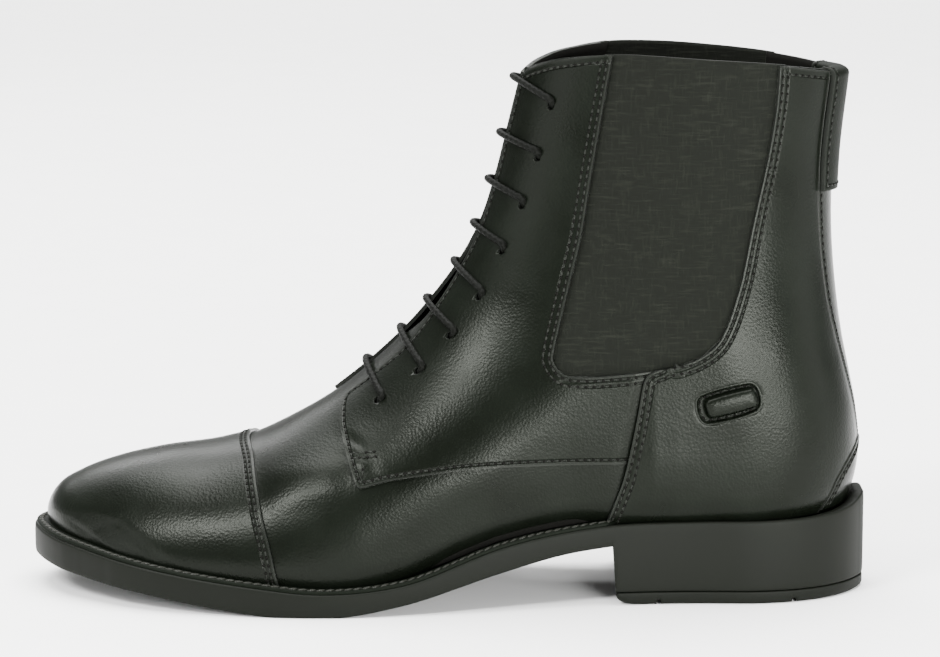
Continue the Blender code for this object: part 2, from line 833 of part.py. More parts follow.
def make_pull_tab(group, material):
    """Strap that runs up the back strip, over the collar and down inside."""
    near = PANEL_TOP + GAP
    inside = -WALL - GAP
    rings = []
    for y in np.linspace(-TAB_HALF, TAB_HALF, TAB_STATIONS):
        edge_x = back_point(y, COLLAR["z"][-1], 0.0)[0]
        top = float(curve(COLLAR["x"], COLLAR["z"], edge_x)) + GAP
        rise = np.linspace(TAB_LOW, top, TAB_ROWS)
        fall = np.linspace(TAB_IN_LOW, top, TAB_ROWS - 2)
        outer = [back_point(y, z, near + TAB_THICK) for z in rise]
        crown = [back_point(y, top, o) for o in (near, inside)]
        over = [(p[0], p[1], top + TAB_THICK) for p in crown]
        inner = [back_point(y, z, inside - TAB_THICK) for z in fall[::-1]]
        back_in = [back_point(y, z, inside) for z in fall]
        back_out = [back_point(y, z, near) for z in rise[::-1]]
        rings.append(outer + over + inner + back_in + back_out)
    return add_object("pull_tab", loft(rings), group, material, True)


def ridge_point(s, y, out):
    """Point over the laced front: s along the ridge, y across it."""
    along = along_line(RIDGE_LINE, s + PROBE) - along_line(RIDGE_LINE, s - PROBE)
    along = along / np.linalg.norm(along)
    return over_surface(along_line(RIDGE_LINE, s), (along[1], -along[0]), y, out)


def cord(name, paths, group, material=None):
    """Round cord along each path, as one mesh."""
    drawn = bpy.data.curves.new(name, "CURVE")
    drawn.dimensions = "3D"
    drawn.bevel_depth = LACE_WIDTH / 2 * MM
    drawn.bevel_resolution = LACE_SIDES // 2 - 2
    drawn.use_fill_caps = True
    for path in paths:
        line = drawn.splines.new("POLY")
        line.points.add(len(path) - 1)
        for point, spot in zip(line.points, path):
            point.co = (*(np.array(spot) * MM), 1.0)
    drawing = bpy.data.objects.new(name + "_line", drawn)
    group.objects.link(drawing)
    mesh = baked(drawing)
    bpy.data.objects.remove(drawing, do_unlink=True)
    bm = bmesh.new()
    bm.from_mesh(mesh)
    bmesh.ops.remove_doubles(bm, verts=bm.verts, dist=0.00001)
    bmesh.ops.scale(bm, vec=(1 / MM, 1 / MM, 1 / MM), verts=bm.verts)
    bpy.data.meshes.remove(mesh)
    return add_object(name, bm, group, material, True)


def make_lace(group, cutters, material):
    """Bars over the throat, joined by the crossings that run under them between the facings."""
    over = PANEL_TOP + GAP + BAR_LIFT + LACE_WIDTH / 2
    bars = []
    links = []
    middles = []
    for x, z, rise in zip(LACE_HOLES["x"], LACE_HOLES["z"], LACE_HOLES["rise"]):
        s = RIDGE_LINE["s"][np.hypot(RIDGE_LINE["x"] - x, RIDGE_LINE["z"] - z).argmin()]
        reach = float(half_width(np.array(x), np.array(z), "lateral"))
        t = np.linspace(-1.0, 1.0, BAR_POINTS)
        bars.append([ridge_point(s + rise * (1 - k * k), k * reach, over) for k in t])
        middles.append(s + rise)
    for high, low in zip(middles, middles[1:]):
        over_vamp = np.interp(low, RIDGE_LINE["s"], RIDGE_LINE["z"]) < SLOT["z"][1]
        lie = GAP + LACE_WIDTH / 2 + BAR_LIFT if over_vamp else LINK_SUNK
        links.append([
            ridge_point(high, LINK_SIDE, over - GAP),
            ridge_point(high - LACE_WIDTH, LINK_SIDE, lie),
            ridge_point(low + LACE_WIDTH, -LINK_SIDE, lie),
            ridge_point(low, -LINK_SIDE, over - GAP),
        ])
    lace = cord("lace", bars, group, material)
    crossing = cord("lace_crossings", links, cutters)
    crossing.hide_render = True
    crossing.display_type = "WIRE"
    cut(lace, crossing, "UNION")
    return lace


def main():
    clear_scene()
    boot = make_collection("ankle_boot")
    cutters = make_collection("cutters")
    leather = make_material("black_leather")
    lining = make_material("dark_lining")
    elastic = make_material("black_elastic")
    rubber = make_material("black_rubber")
    lace_cord = make_material("black_cord")
    forms = make_cutters(cutters)
    make_outsole(boot, rubber)
    make_heel_tip(boot, cutters, rubber)
    make_welt(boot, leather)
    make_insole(boot, lining)
    make_upper(boot, forms, leather)
    make_tongue(boot, forms, leather)
    make_panels(boot, forms, leather)
    make_gussets(boot, forms, elastic)
    make_pull_tab(boot, leather)
    make_lace(boot, cutters, lace_cord)


main()
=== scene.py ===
# %% [markdown]
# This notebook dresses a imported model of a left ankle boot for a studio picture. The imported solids
# are the boot's measured form. Every visible piece made here lies where its solid lies, so the boot
# keeps its size. The toe points to -X, the outer side to -Y, and the boot stands on Z = 0.

# %% Load the boot
import math

import bmesh
import bpy
import numpy as np
from mathutils import Matrix, Vector


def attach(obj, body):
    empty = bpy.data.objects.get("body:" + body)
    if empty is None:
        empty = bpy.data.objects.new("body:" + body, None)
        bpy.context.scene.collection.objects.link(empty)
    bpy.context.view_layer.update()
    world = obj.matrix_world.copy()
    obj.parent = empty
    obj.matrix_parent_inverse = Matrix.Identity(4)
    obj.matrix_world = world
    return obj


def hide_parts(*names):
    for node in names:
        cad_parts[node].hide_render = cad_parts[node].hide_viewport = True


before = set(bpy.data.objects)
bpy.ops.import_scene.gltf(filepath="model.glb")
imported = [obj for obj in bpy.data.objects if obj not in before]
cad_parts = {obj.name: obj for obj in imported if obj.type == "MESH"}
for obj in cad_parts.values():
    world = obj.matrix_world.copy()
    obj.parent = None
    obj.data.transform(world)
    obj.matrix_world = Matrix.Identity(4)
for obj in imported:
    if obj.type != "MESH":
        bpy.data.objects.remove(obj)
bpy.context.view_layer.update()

MM = 0.001
print("solids:", ", ".join(sorted(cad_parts)))

# %% [markdown]
# The camera comes first, because it says which sides matter most. A long lens from about four boot
# lengths away keeps the sole's line nearly straight, and a little height over the floor shows the
# far rim of the collar and the top of the sole's edge. The picture is 940 by 657 pixels.

# %% Camera
IMAGE_WIDTH, FOCAL_PIXELS = 940, 3604.0
CAMERA_AT = Vector((0.0079, -1.2284, 0.3012))
LOOK_AT = Vector((0.0079, 0.0026, 0.0897))

lens = bpy.data.cameras.new("photo_camera")
lens.sensor_fit = "HORIZONTAL"
lens.lens = FOCAL_PIXELS * lens.sensor_width / IMAGE_WIDTH
lens.clip_end = 50.0
camera = bpy.data.objects.new("photo_camera", lens)
camera.location = CAMERA_AT
camera.rotation_euler = (LOOK_AT - CAMERA_AT).to_track_quat("-Z", "Y").to_euler()
bpy.context.scene.collection.objects.link(camera)
bpy.context.scene.camera = camera
print("lens", round(lens.lens, 1), "mm")

# %% [markdown]
# A boot is drawn over a last, the carved foot that gives leather its shape. Here the last is a
# function: short tables give its outline from the side, its width in plan and the width of the
# ankle, and a smooth curve runs through each. Sculpting would give a shape too, but a function can
# be asked for the surface at any point, so seams, stitches and laces all land on the same leather.

# %% Tables of the last, in millimetres


def table(columns, rows):
    """Short table as named columns."""
    return {n: np.array(c, float) for n, c in zip(columns.split(), zip(*rows))}


# Centre lines over toe, vamp and instep to the collar and up the back, with how deep the shoulder
# beside them is and how square.
RIDGE = table("x z round bulge", (
    (-138.3, 20.9, 44, 2.0), (-139.0, 25.0, 44, 2.0), (-137.7, 29.2, 43, 2.0),
    (-134.7, 33.2, 42, 2.0), (-127.9, 37.3, 40, 2.0), (-113.9, 42.5, 39, 2.05),
    (-100.0, 45.7, 39, 2.1), (-79.0, 49.0, 40, 2.1), (-65.2, 53.0, 42, 2.1),
    (-51.2, 60.1, 45, 2.05), (-36.0, 70.0, 49, 2.0), (-23.5, 80.4, 52, 1.95),
    (-10.7, 93.0, 54, 1.9), (-3.7, 101.5, 55, 1.85), (5.3, 114.3, 56, 1.8), (13.0, 131.0, 57, 1.75),
    (17.8, 147.7, 58, 1.7), (20.8, 160.1, 58, 1.7), (25.2, 178.5, 58, 1.65),
))
BACK = table("x z round bulge", (
    (138.2, 32.3, 38, 2.1), (140.3, 40.0, 39, 2.1), (141.4, 50.0, 40, 2.1), (140.6, 62.0, 41, 2.1),
    (138.1, 75.0, 43, 2.1), (135.4, 88.0, 45, 2.05), (133.0, 104.0, 48, 2.0),
    (131.0, 130.0, 52, 1.95), (131.4, 150.0, 55, 1.9), (134.4, 180.0, 58, 1.9),
))
# Half widths of the foot in plan, and of ankle and shaft against height.
PLAN = table("x lateral medial", (
    (-140, 35.0, 35.5), (-115, 40.0, 39.5), (-90, 45.0, 43.0), (-65, 49.3, 44.0), (-42, 50.6, 41.8),
    (-20, 48.8, 36.5), (5, 44.5, 31.0), (30, 39.0, 27.0), (55, 34.6, 27.5), (80, 32.4, 30.5),
    (105, 32.2, 32.0), (142, 32.0, 32.0),
))
SHAFT = table("z lateral medial", (
    (30, 33.0, 33.0), (90, 33.0, 32.0), (120, 31.5, 31.5), (150, 32.0, 32.0), (188, 33.5, 33.5),
))
# Top of the sole's rim, line of the collar, and how far the sole stands out past the upper.
SEAT = table("x z", (
    (-145, 21.7), (-126, 18.5), (-100, 14.2), (-66, 10.1), (-42, 8.0), (-16, 10.3), (18, 21.9),
    (52, 27.6), (86, 28.7), (112, 29.0), (126, 29.6), (132, 30.5), (136, 32.0), (138.5, 34.0),
    (145, 34.6),
))
COLLAR = table("x z", (
    (25.2, 178.5), (28.0, 181.0), (34.0, 183.8), (46.0, 186.2), (57.0, 187.0), (70.0, 186.7),
    (88.0, 185.5), (112.0, 183.4), (124.0, 181.8), (134.4, 180.0),
))
RIM = table("x out", (
    (-145, 6.6), (-100, 5.6), (-45, 5.6), (20, 5.6), (60, 5.3), (100, 5.5), (120, 6.0), (138, 6.6),
))
# How far the leather turns in over the last few millimetres above the sole.
TUCK = table("x in", (
    (-145, 1.6), (-60, 1.6), (0, 2.4), (40, 3.0), (105, 3.0), (126, 2.2), (138, 1.6), (145, 1.6),
))
print("last:", len(RIDGE["x"]), "points over the front,", len(BACK["x"]), "up the back")

# %% Smooth lines through the tables
FINE = 400
TAIL = np.arange(0.5, 25.0, 0.5)
CHART_X, CHART_Z = (-175, 176), (-15, 221)


def through(xs, ys, slope, x):
    """Curve through some points that has a given slope at each."""
    i = np.clip(np.searchsorted(xs, x) - 1, 0, len(xs) - 2)
    wide, rise = xs[i + 1] - xs[i], ys[i + 1] - ys[i]
    t = np.clip((x - xs[i]) / wide, 0.0, 1.0)
    start, end = slope[i] * wide - rise, rise - slope[i + 1] * wide
    return ys[i] + rise * t + t * (1 - t) * ((1 - t) * start + t * end)


def curve(xs, ys, x):
    """Smooth curve through a table's points."""
    return through(xs, ys, np.gradient(ys, xs), x)


def profile(rows, inside):
    """A centre line, closely sampled by its length and carried straight on past both ends.

    Its chart holds the nearest length along the line for every millimetre of the side view.
    """
    run = np.hypot(np.diff(rows["x"]), np.diff(rows["z"]))
    length = np.concatenate([[0.0], np.cumsum(run)])
    s = np.linspace(0.0, length[-1], FINE)
    line = {name: curve(length, rows[name], s) for name in rows}
    for name in ("x", "z"):
        first = line[name][0] - (line[name][1] - line[name][0]) / s[1] * TAIL[::-1]
        last = line[name][-1] + (line[name][-1] - line[name][-2]) / s[1] * TAIL
        line[name] = np.concatenate([first, line[name], last])
    for name in ("round", "bulge"):
        line[name] = np.pad(line[name], len(TAIL), "edge")
    line["s"] = np.concatenate([-TAIL[::-1], s, s[-1] + TAIL])
    along = np.stack([np.gradient(line["x"], line["s"]), np.gradient(line["z"], line["s"])])
    line["along_x"], line["along_z"] = along / np.hypot(*along)
    line["length"], line["inside"] = s[-1], inside
    grid_x, grid_z = np.meshgrid(np.arange(*CHART_X), np.arange(*CHART_Z), indexing="ij")
    away = (grid_x[..., None] - line["x"]) ** 2 + (grid_z[..., None] - line["z"]) ** 2
    line["chart"] = line["s"][away.argmin(-1)]
    return line


RIDGE_LINE = profile(RIDGE, 1.0)
BACK_LINE = profile(BACK, -1.0)


def along_line(line, s):
    """Side-view point of a centre line at a length along it."""
    return np.stack([np.interp(s, line["s"], line[k]) for k in "xz"], -1)


def seat(x):
    return curve(SEAT["x"], SEAT["z"], x)


def collar(x):
    return curve(COLLAR["x"], COLLAR["z"], x)


print("front line", round(RIDGE_LINE["length"]), "mm, back line", round(BACK_LINE["length"]), "mm")

# %% Depth below the centre lines
SOFT_SHARE, SOFT_RADIUS, SOFT_POINTS = 0.7, 11.0, 12
NEARER = 2


def depth_at(line, x, z):
    """Depth below a centre line as a share of its round, the bulge there, and the plain depth."""
    i = np.clip(np.rint(x - CHART_X[0]), 0, line["chart"].shape[0] - 1).astype(int)
    j = np.clip(np.rint(z - CHART_Z[0]), 0, line["chart"].shape[1] - 1).astype(int)
    s = line["chart"][i, j]

    def at(name):
        return np.interp(s, line["s"], line[name])
    for _ in range(NEARER):
        s = s + (x - at("x")) * at("along_x") + (z - at("z")) * at("along_z")
    depth = ((x - at("x")) * at("along_z") - (z - at("z")) * at("along_x")) * line["inside"]
    return depth / at("round"), at("bulge"), depth


def depth_under(line, x, z):
    """Depth and bulge, evened out over a small circle so that no crease runs round the toe."""
    share, bulge, depth = depth_at(line, x, z)
    radius = np.clip(depth * SOFT_SHARE, 0.0, SOFT_RADIUS)
    for turn in np.arange(SOFT_POINTS) * 2 * math.pi / SOFT_POINTS:
        more = depth_at(line, x + radius * math.cos(turn), z + radius * math.sin(turn))
        share = share + more[0]
        bulge = bulge + more[1]
    return share / (SOFT_POINTS + 1), bulge / (SOFT_POINTS + 1)


def shoulder(depth, bulge):
    """Share of the full width at a depth below a centre line."""
    t = np.clip(depth, 0.0, 1.0)
    return (1 - (1 - t) ** bulge) ** (1 / bulge)


# %% Width of the last
TOE_SWING, SWING_START, SWING_POWER = 6.0, -35.0, 1.6
LEG_FROM, LEG_TO = 40.0, 105.0
TUCK_HEIGHT, TUCK_WIDTH = 9.0, 10.0
SIGN = {"lateral": -1.0, "medial": 1.0}


def ramp(x, start, end):
    """Share of the way from start to end, held at 0 before it and at 1 past it."""
    return np.clip((x - start) / (end - start), 0.0, 1.0)


def half_width(x, z, side):
    """Half width of the upper at a point of its side view."""
    t = ramp(z, LEG_FROM, LEG_TO)
    leg = t * t * (3 - 2 * t)
    half = curve(PLAN["x"], PLAN[side], x) * (1 - leg) + curve(SHAFT["z"], SHAFT[side], z) * leg
    half = half * shoulder(*depth_under(RIDGE_LINE, x, z)) * shoulder(*depth_under(BACK_LINE, x, z))
    low = np.clip(1 - (z - seat(x)) / TUCK_HEIGHT, 0.0, 1.0)
    tuck = curve(TUCK["x"], TUCK["in"], x)
    return half - tuck * low ** 2 * np.clip(half / TUCK_WIDTH, 0.0, 1.0)


def swing(x):
    """Sideways bend of the centre line toward the inner side at the toe."""
    return TOE_SWING * ramp(x, SWING_START, RIDGE["x"].min()) ** SWING_POWER


def on_side(flat, side):
    """Points of the side view, moved out to the surface of one side."""
    x, z = flat[..., 0], flat[..., 1]
    return np.stack([x, swing(x) + SIGN[side] * half_width(x, z, side), z], -1)


ball = half_width(np.array(-45.0), np.array(25.0), "lateral")
print("ball", round(float(ball), 1), "mm to the outer side")

# %% [markdown]
# Leather pieces are sheets, so each one starts as a flat grid, which Blender makes in one call. The
# grid's own rows and columns then say where each corner goes on the last. The same helper keeps two
# measurements on every corner, the distance to the sheet's cut edge and to its nearest row of
# stitches, which the leather's material uses to press the seams in.

# %% Helper: lay a grid over the boot
MIDDLE_Y, WELD, FAR = -2.66, 1e-7, 99.0
boot = bpy.data.collections.new("dressed_boot")
bpy.context.scene.collection.children.link(boot)


def metres(points):
    """Millimetres on the last as the scene's metres, with the boot's middle on Y = 0."""
    return (points - (0.0, MIDDLE_Y, 0.0)) * MM


def lay_grid(points, edge=None, row=None, weld=False):
    """A flat grid whose corners are moved to the given points, in millimetres."""
    rows, columns = points.shape[:2]
    bm = bmesh.new()
    bm.loops.layers.uv.new("UVMap")
    edge_layer = bm.verts.layers.float.new("edge")
    row_layer = bm.verts.layers.float.new("row")
    bmesh.ops.create_grid(bm, x_segments=columns - 1, y_segments=rows - 1, size=0.5,
                          calc_uvs=True)
    placed = metres(points)
    for vert in bm.verts:
        i = round((vert.co.y + 0.5) * (rows - 1))
        j = round((vert.co.x + 0.5) * (columns - 1))
        vert.co = placed[i, j]
        vert[edge_layer] = FAR if edge is None else edge[i, j]
        vert[row_layer] = FAR if row is None else row[i, j]
    if weld:
        bmesh.ops.remove_doubles(bm, verts=bm.verts, dist=WELD)
        bmesh.ops.dissolve_degenerate(bm, dist=WELD, edges=bm.edges)
    return bm


def lay_closed(points):
    """A grid that is welded where its edges meet, with its open ends filled."""
    bm = lay_grid(points, weld=True)
    bmesh.ops.holes_fill(bm, edges=[e for e in bm.edges if e.is_boundary], sides=0)
    return bm


# %% Helper: pieces that ride on the boot
ROUND_ANGLE = math.radians(50.0)


def new_object(name, bm, collection=boot):
    """Object from a bmesh."""
    mesh = bpy.data.meshes.new(name)
    bm.to_mesh(mesh)
    bm.free()
    made = bpy.data.objects.new(name, mesh)
    collection.objects.link(made)
    return made


def finish_piece(name, bm, material, outward=None, stands_for=()):
    """Object that rides on the boot. outward says which way its faces look on the whole."""
    if outward is None:
        bmesh.ops.recalc_face_normals(bm, faces=bm.faces)
    else:
        bm.normal_update()
        total = sum((f.normal * f.calc_area() for f in bm.faces), Vector())
        if total.dot(Vector(outward)) < 0:
            bmesh.ops.reverse_faces(bm, faces=bm.faces)
    for face in bm.faces:
        face.smooth = True
    piece = new_object(name, bm)
    piece.data.materials.append(material)
    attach(piece, "root")
    if stands_for:
        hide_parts(*stands_for)
    return piece


def thicken(piece, thick, round_edge=0.0, lining=None):
    """Sheet's thickness toward the foot, with the cut edge rounded off."""
    sheet = piece.modifiers.new("thickness", "SOLIDIFY")
    sheet.thickness = thick * MM
    sheet.offset = -1.0
    if lining:
        piece.data.materials.append(lining)
        sheet.material_offset = 1
    if round_edge:
        edge = piece.modifiers.new("rounded_edge", "BEVEL")
        edge.width = round_edge * MM
        edge.segments = 2
        edge.limit_method = "ANGLE"
        edge.angle_limit = ROUND_ANGLE
    return piece


def baked(piece):
    """Work a piece's modifiers into its mesh."""
    bpy.context.view_layer.update()
    graph = bpy.context.evaluated_depsgraph_get()
    mesh = bpy.data.meshes.new_from_object(piece.evaluated_get(graph))
    piece.modifiers.clear()
    piece.data = mesh
    return piece


# %% Helper: offsets and distances on a grid of points
TINY, FINER = 1e-12, 4


def unit(vectors):
    """Vectors scaled to a length of one."""
    return vectors / np.maximum(np.linalg.norm(vectors, axis=-1, keepdims=True), TINY)


def lengths(points):
    """Length along a line of points, at each of them."""
    return np.concatenate([[0.0], np.cumsum(np.linalg.norm(np.diff(points, axis=0), axis=1))])


def longest(points):
    """Length of the longest line along a grid."""
    return float(np.linalg.norm(np.diff(points, axis=0), axis=-1).sum(0).max())


def normals(points, outside=None):
    """Unit normals of a grid of points, all turned to one side."""
    normal = unit(np.cross(np.gradient(points, axis=0), np.gradient(points, axis=1)))
    if outside is not None and (normal * outside).sum() < 0:
        normal = -normal
    return normal


def from_axis(points):
    """Direction away from the middle of the boot, to tell outside from inside."""
    away = points - (points.reshape(-1, 3).mean(0) * (1, 0, 1))
    return away * (0.3, 1.0, 0.3)


def raise_grid(points, out, outside=None):
    """Grid moved out along its own normals."""
    outside = from_axis(points) if outside is None else outside
    return points + normals(points, outside) * np.asarray(out)[..., None]


def distance_to(points, line):
    """Distance of every grid point from a line through some of them."""
    fine = np.linspace(0.0, len(line) - 1, FINER * len(line))
    line = np.stack([np.interp(fine, np.arange(len(line)), line[:, c]) for c in range(3)])
    flat = points.reshape(-1, 3)
    square = (flat ** 2).sum(1)[:, None] + (line ** 2).sum(0) - 2 * flat @ line
    return np.sqrt(np.maximum(square.min(1), 0.0)).reshape(points.shape[:2])


def edge_runs(points):
    """Distance of every grid point from each of the sheet's four edges."""
    lines = {"start": points[0], "end": points[-1], "near": points[:, 0], "far": points[:, -1]}
    return {name: distance_to(points, line) for name, line in lines.items()}


def stitch_distance(runs, rows):
    """Distance to the nearest of some stitch rows, each an edge and an inset."""
    return np.minimum.reduce([np.abs(runs[edge] - inset) for edge, inset in rows])


# %% [markdown]
# Materials first, because every piece is given one when it is made. All of them read Object
# coordinates, which are metres here, so a pattern's scale is one over its real size. The seams are
# pressed in with the two measurements that each sheet carries.

# %% Helper: materials


def linear(hex_colour):
    """An sRGB hex value as linear red, green, blue and alpha."""
    parts = [int(hex_colour[i:i + 2], 16) / 255 for i in (1, 3, 5)]
    return (*[c / 12.92 if c <= 0.04045 else ((c + 0.055) / 1.055) ** 2.4 for c in parts], 1.0)


def fill(tree, node, inputs):
    """Set a node's inputs, or link those whose value is another node's output."""
    for socket, value in inputs.items():
        if isinstance(value, bpy.types.NodeSocket):
            tree.links.new(value, node.inputs[socket])
        else:
            node.inputs[socket].default_value = value


def add(tree, kind, settings=(), inputs=()):
    """Add a node, set its settings and fill its inputs."""
    node = tree.nodes.new("ShaderNode" + kind)
    for name, value in dict(settings).items():
        setattr(node, name, value)
    fill(tree, node, dict(inputs))
    return node.outputs


def new_material(name, where="Object"):
    """Material with its node tree, its shader and the place that its patterns follow."""
    material = bpy.data.materials.new(name)
    material.use_nodes = True
    tree = material.node_tree
    return material, tree, tree.nodes["Principled BSDF"], add(tree, "TexCoord")[where]


def per_mm(size):
    """Texture scale that makes one cell this many millimetres wide."""
    return 1.0 / (size * MM)


# %% Helper: nodes that most materials use


def noise(tree, place, size, detail):
    """Soft cloudy pattern with patches this many millimetres wide."""
    inputs = {"Vector": place, "Scale": per_mm(size), "Detail": detail}
    return add(tree, "TexNoise", inputs=inputs)["Fac"]


def sums(tree, operation, *values):
    """One step of arithmetic."""
    return add(tree, "Math", {"operation": operation}, dict(enumerate(values)))[0]


def spread(tree, value, low, high, to_low=0.0, to_high=1.0, way="LINEAR"):
    """Value carried over from one range to another."""
    inputs = {"Value": value, "From Min": low, "From Max": high,
              "To Min": to_low, "To Max": to_high}
    return add(tree, "MapRange", {"interpolation_type": way}, inputs)["Result"]


def blend(tree, share, first, second):
    """Colour between two, each a hex value or another node's output."""
    pair = [linear(c) if isinstance(c, str) else c for c in (first, second)]
    return add(tree, "Mix", {"data_type": "RGBA"}, {"Factor": share, 6: pair[0], 7: pair[1]})[2]


def bump(tree, height, strength, deep, **under):
    """Normal of a relief this many millimetres deep, over another one if that is given."""
    inputs = {"Height": height, "Strength": strength, "Distance": deep * MM, **under}
    return add(tree, "Bump", inputs=inputs)["Normal"]


# %% Smooth full-grain leather, dyed through and polished
# Polish leaves a soft satin sheen, and the pores give a fine pebble that shows where light skims
# it. A cut edge is rubbed a little paler, and the leather is pressed in along its rows of stitches.
PEBBLE, PORE, CLOUD = 0.85, 0.3, 22.0
RUBBED_WIDE, RUBBED_SHARE = (0.9, 0.1), 0.35
PRESSED_WIDE, PRESSED_DEEP = (0.15, 0.75), 0.25
POLISH_TINT = (0.96, 1.0, 0.91, 1.0)


def dyed_leather(name, dark, light, roughness, gloss, pebble_depth):
    material, tree, shader, place = new_material(name)
    edge, row = (add(tree, "Attribute", {"attribute_name": n})["Fac"] for n in ("edge", "row"))
    cloud = noise(tree, place, CLOUD, 3.0)
    pebble = add(tree, "TexVoronoi", {"feature": "SMOOTH_F1"},
                 {"Vector": place, "Scale": per_mm(PEBBLE), "Smoothness": 0.6})["Distance"]
    grain = sums(tree, "MULTIPLY_ADD", noise(tree, place, PORE, 2.0), 0.35, pebble)
    seam = spread(tree, row, *PRESSED_WIDE, way="SMOOTHSTEP")
    rubbed = sums(tree, "MULTIPLY", spread(tree, edge, *RUBBED_WIDE), RUBBED_SHARE)
    dye = blend(tree, spread(tree, cloud, 0.3, 0.7), dark, light)
    fine = bump(tree, grain, 1.0, pebble_depth)
    fill(tree, shader, {
        "Base Color": blend(tree, rubbed, dye, "#2a2b29"),
        "Roughness": spread(tree, cloud, 0.3, 0.7, roughness - 0.04, roughness + 0.05),
        "Normal": bump(tree, seam, 0.8, PRESSED_DEEP, Normal=fine),
        "Specular IOR Level": gloss, "Specular Tint": POLISH_TINT,
    })
    return material


LEATHER = dyed_leather("polished_black_leather", "#060805", "#090c08", 0.29, 0.075, 0.05)
SOFT_LEATHER = dyed_leather("unpolished_soft_leather", "#070a06", "#0a0d09", 0.55, 0.04, 0.06)
print("leathers made")

# %% Lining leather, left undressed
# Lining is matt and slightly fibrous, and it lies in the dark of the boot.


def lining_leather():
    material, tree, shader, place = new_material("undressed_lining_leather")
    nap = noise(tree, place, 0.9, 4.0)
    fill(tree, shader, {
        "Base Color": blend(tree, nap, "#080807", "#10100e"), "Roughness": 0.8,
        "Normal": bump(tree, nap, 0.5, 0.1), "Specular IOR Level": 0.03,
    })
    return material


LINING = lining_leather()

# %% Woven elastic
# Rubber threads run up and down under a cotton weave. The weave is even, and only short lengths of
# thread that stand up a little catch the light, some across the panel and some up it. They are
# raised in the bump, and painted lighter in the base colour as a painted highlight. The real threads
# are about 0.5 mm apart, and are drawn a little coarser to show.
# Each row has the length of its dashes across and up, and how strongly they show.
DASHES = ((7.0, 0.75, 1.0), (0.8, 5.0, 0.6))
PROUD = (0.52, 0.8)


def woven_elastic():
    material, tree, shader, place = new_material("woven_black_elastic")
    proud_and_glint = 0.0
    for wide, high, share in DASHES:
        stretch = (per_mm(wide), per_mm(wide), per_mm(high))
        woven = add(tree, "Mapping", inputs={"Vector": place, "Scale": stretch})["Vector"]
        dash = add(tree, "TexNoise", inputs={"Vector": woven, "Scale": 1.0, "Detail": 1.0})["Fac"]
        proud_and_glint = sums(tree, "MULTIPLY_ADD", spread(tree, dash, *PROUD), share, proud_and_glint)
    # The lighter base colour on the raised threads is a painted highlight; the bump gives their real
    # height.
    fill(tree, shader, {
        "Base Color": blend(tree, proud_and_glint, "#080a06", "#11130e"), "Roughness": 0.85,
        "Normal": bump(tree, proud_and_glint, 0.8, 0.15), "Specular IOR Level": 0.08,
        "Sheen Weight": 0.04, "Sheen Roughness": 0.5,
    })
    return material


ELASTIC = woven_elastic()

# %% Moulded rubber
# The sole comes out of a steel mould with a faint even texture, and dulls where it is handled.


def moulded_rubber():
    material, tree, shader, place = new_material("moulded_black_rubber")
    cloud = noise(tree, place, 35.0, 4.0)
    fill(tree, shader, {
        "Base Color": blend(tree, cloud, "#090b07", "#0e100c"),
        "Roughness": spread(tree, cloud, 0.0, 1.0, 0.5, 0.62),
        "Normal": bump(tree, noise(tree, place, 0.6, 3.0), 0.4, 0.04), "Specular IOR Level": 0.07,
    })
    return material


RUBBER = moulded_rubber()

# %% Waxed thread and braided lace
# Both are twisted or braided from finer yarn, so slanting ridges wind round them. The ridges are a
# bump, and the base colour is painted lighter on their crests and darker in the grooves between
# strands, a painted highlight and painted shade. The lace carries its own map, with its length along
# V, and the braid follows it.


def yarn(name, dark, light, roughness, gloss, along, around, where):
    material, tree, shader, place = new_material(name, where)
    split = add(tree, "SeparateXYZ", inputs={"Vector": place})
    lengthwise = sums(tree, "MULTIPLY", split["Y"], along)
    ridges = [sums(tree, "SINE", sums(tree, "MULTIPLY_ADD", split["X"], turn, lengthwise))
              for turn in (around, -around)]
    ridge_and_shade = spread(tree, sums(tree, "MAXIMUM", *ridges), -1.0, 1.0)
    # Crests painted lighter and grooves darker: painted highlight and painted shade.
    fill(tree, shader, {
        "Base Color": blend(tree, ridge_and_shade, dark, light), "Roughness": roughness,
        "Normal": bump(tree, ridge_and_shade, 0.8, 0.2), "Specular IOR Level": gloss,
    })
    return material


TWIST = 2 * math.pi * per_mm(0.6)
THREAD_YARN = yarn("waxed_black_thread", "#0b0d0a", "#191b17", 0.45, 0.1, TWIST, TWIST, "Object")
WELT_YARN = yarn("thick_waxed_thread", "#0b0c0a", "#23241f", 0.4, 0.18, TWIST, TWIST, "Object")
print("yarns:", THREAD_YARN.name, "and", WELT_YARN.name)

# %% [markdown]
# The outer leather is cut in pieces like a pattern on paper. A piece's four edges are smooth lines
# in the side view, and the grid between them is blended from all four, which is called a Coons
# patch. A grid that ends exactly on its seam stays crisp, where a cut through a plain mesh would
# leave slivers.

# %% Helper: patches between edge lines


def supple(xs, ys, x):
    """Curve through some points that turns a corner without swinging out beside it."""
    step = np.diff(ys) / np.diff(xs)
    step = np.concatenate([[3 * step[0] - 2 * step[1], 2 * step[0] - step[1]], step,
                           [2 * step[-1] - step[-2], 3 * step[-1] - 2 * step[-2]]])
    turn = np.abs(np.diff(step)) + 1e-6
    slope = (turn[2:] * step[1:-2] + turn[:-2] * step[2:-1]) / (turn[2:] + turn[:-2])
    return through(xs, ys, slope, x)


def line_of(points, stops=None):
    """Smooth line as a function of 0 to 1. stops pins some points to values, by their index."""
    points = np.array(points, float)
    run = lengths(points)
    index, value = zip(*(stops or ((0, 0.0), (len(points) - 1, 1.0))))

    def at(t):
        s = np.interp(t, value, run[list(index)])
        return np.stack([supple(run, points[:, 0], s), supple(run, points[:, 1], s)], -1)
    return at


def between(first, last, height):
    """Line that runs along X from one point to another at a height that X gives."""
    def at(t):
        x = first[0] + (last[0] - first[0]) * t
        slip = (first[1] - height(first[0])) * (1 - t) + (last[1] - height(last[0])) * t
        return np.stack([x, height(x) + slip], -1)
    return at


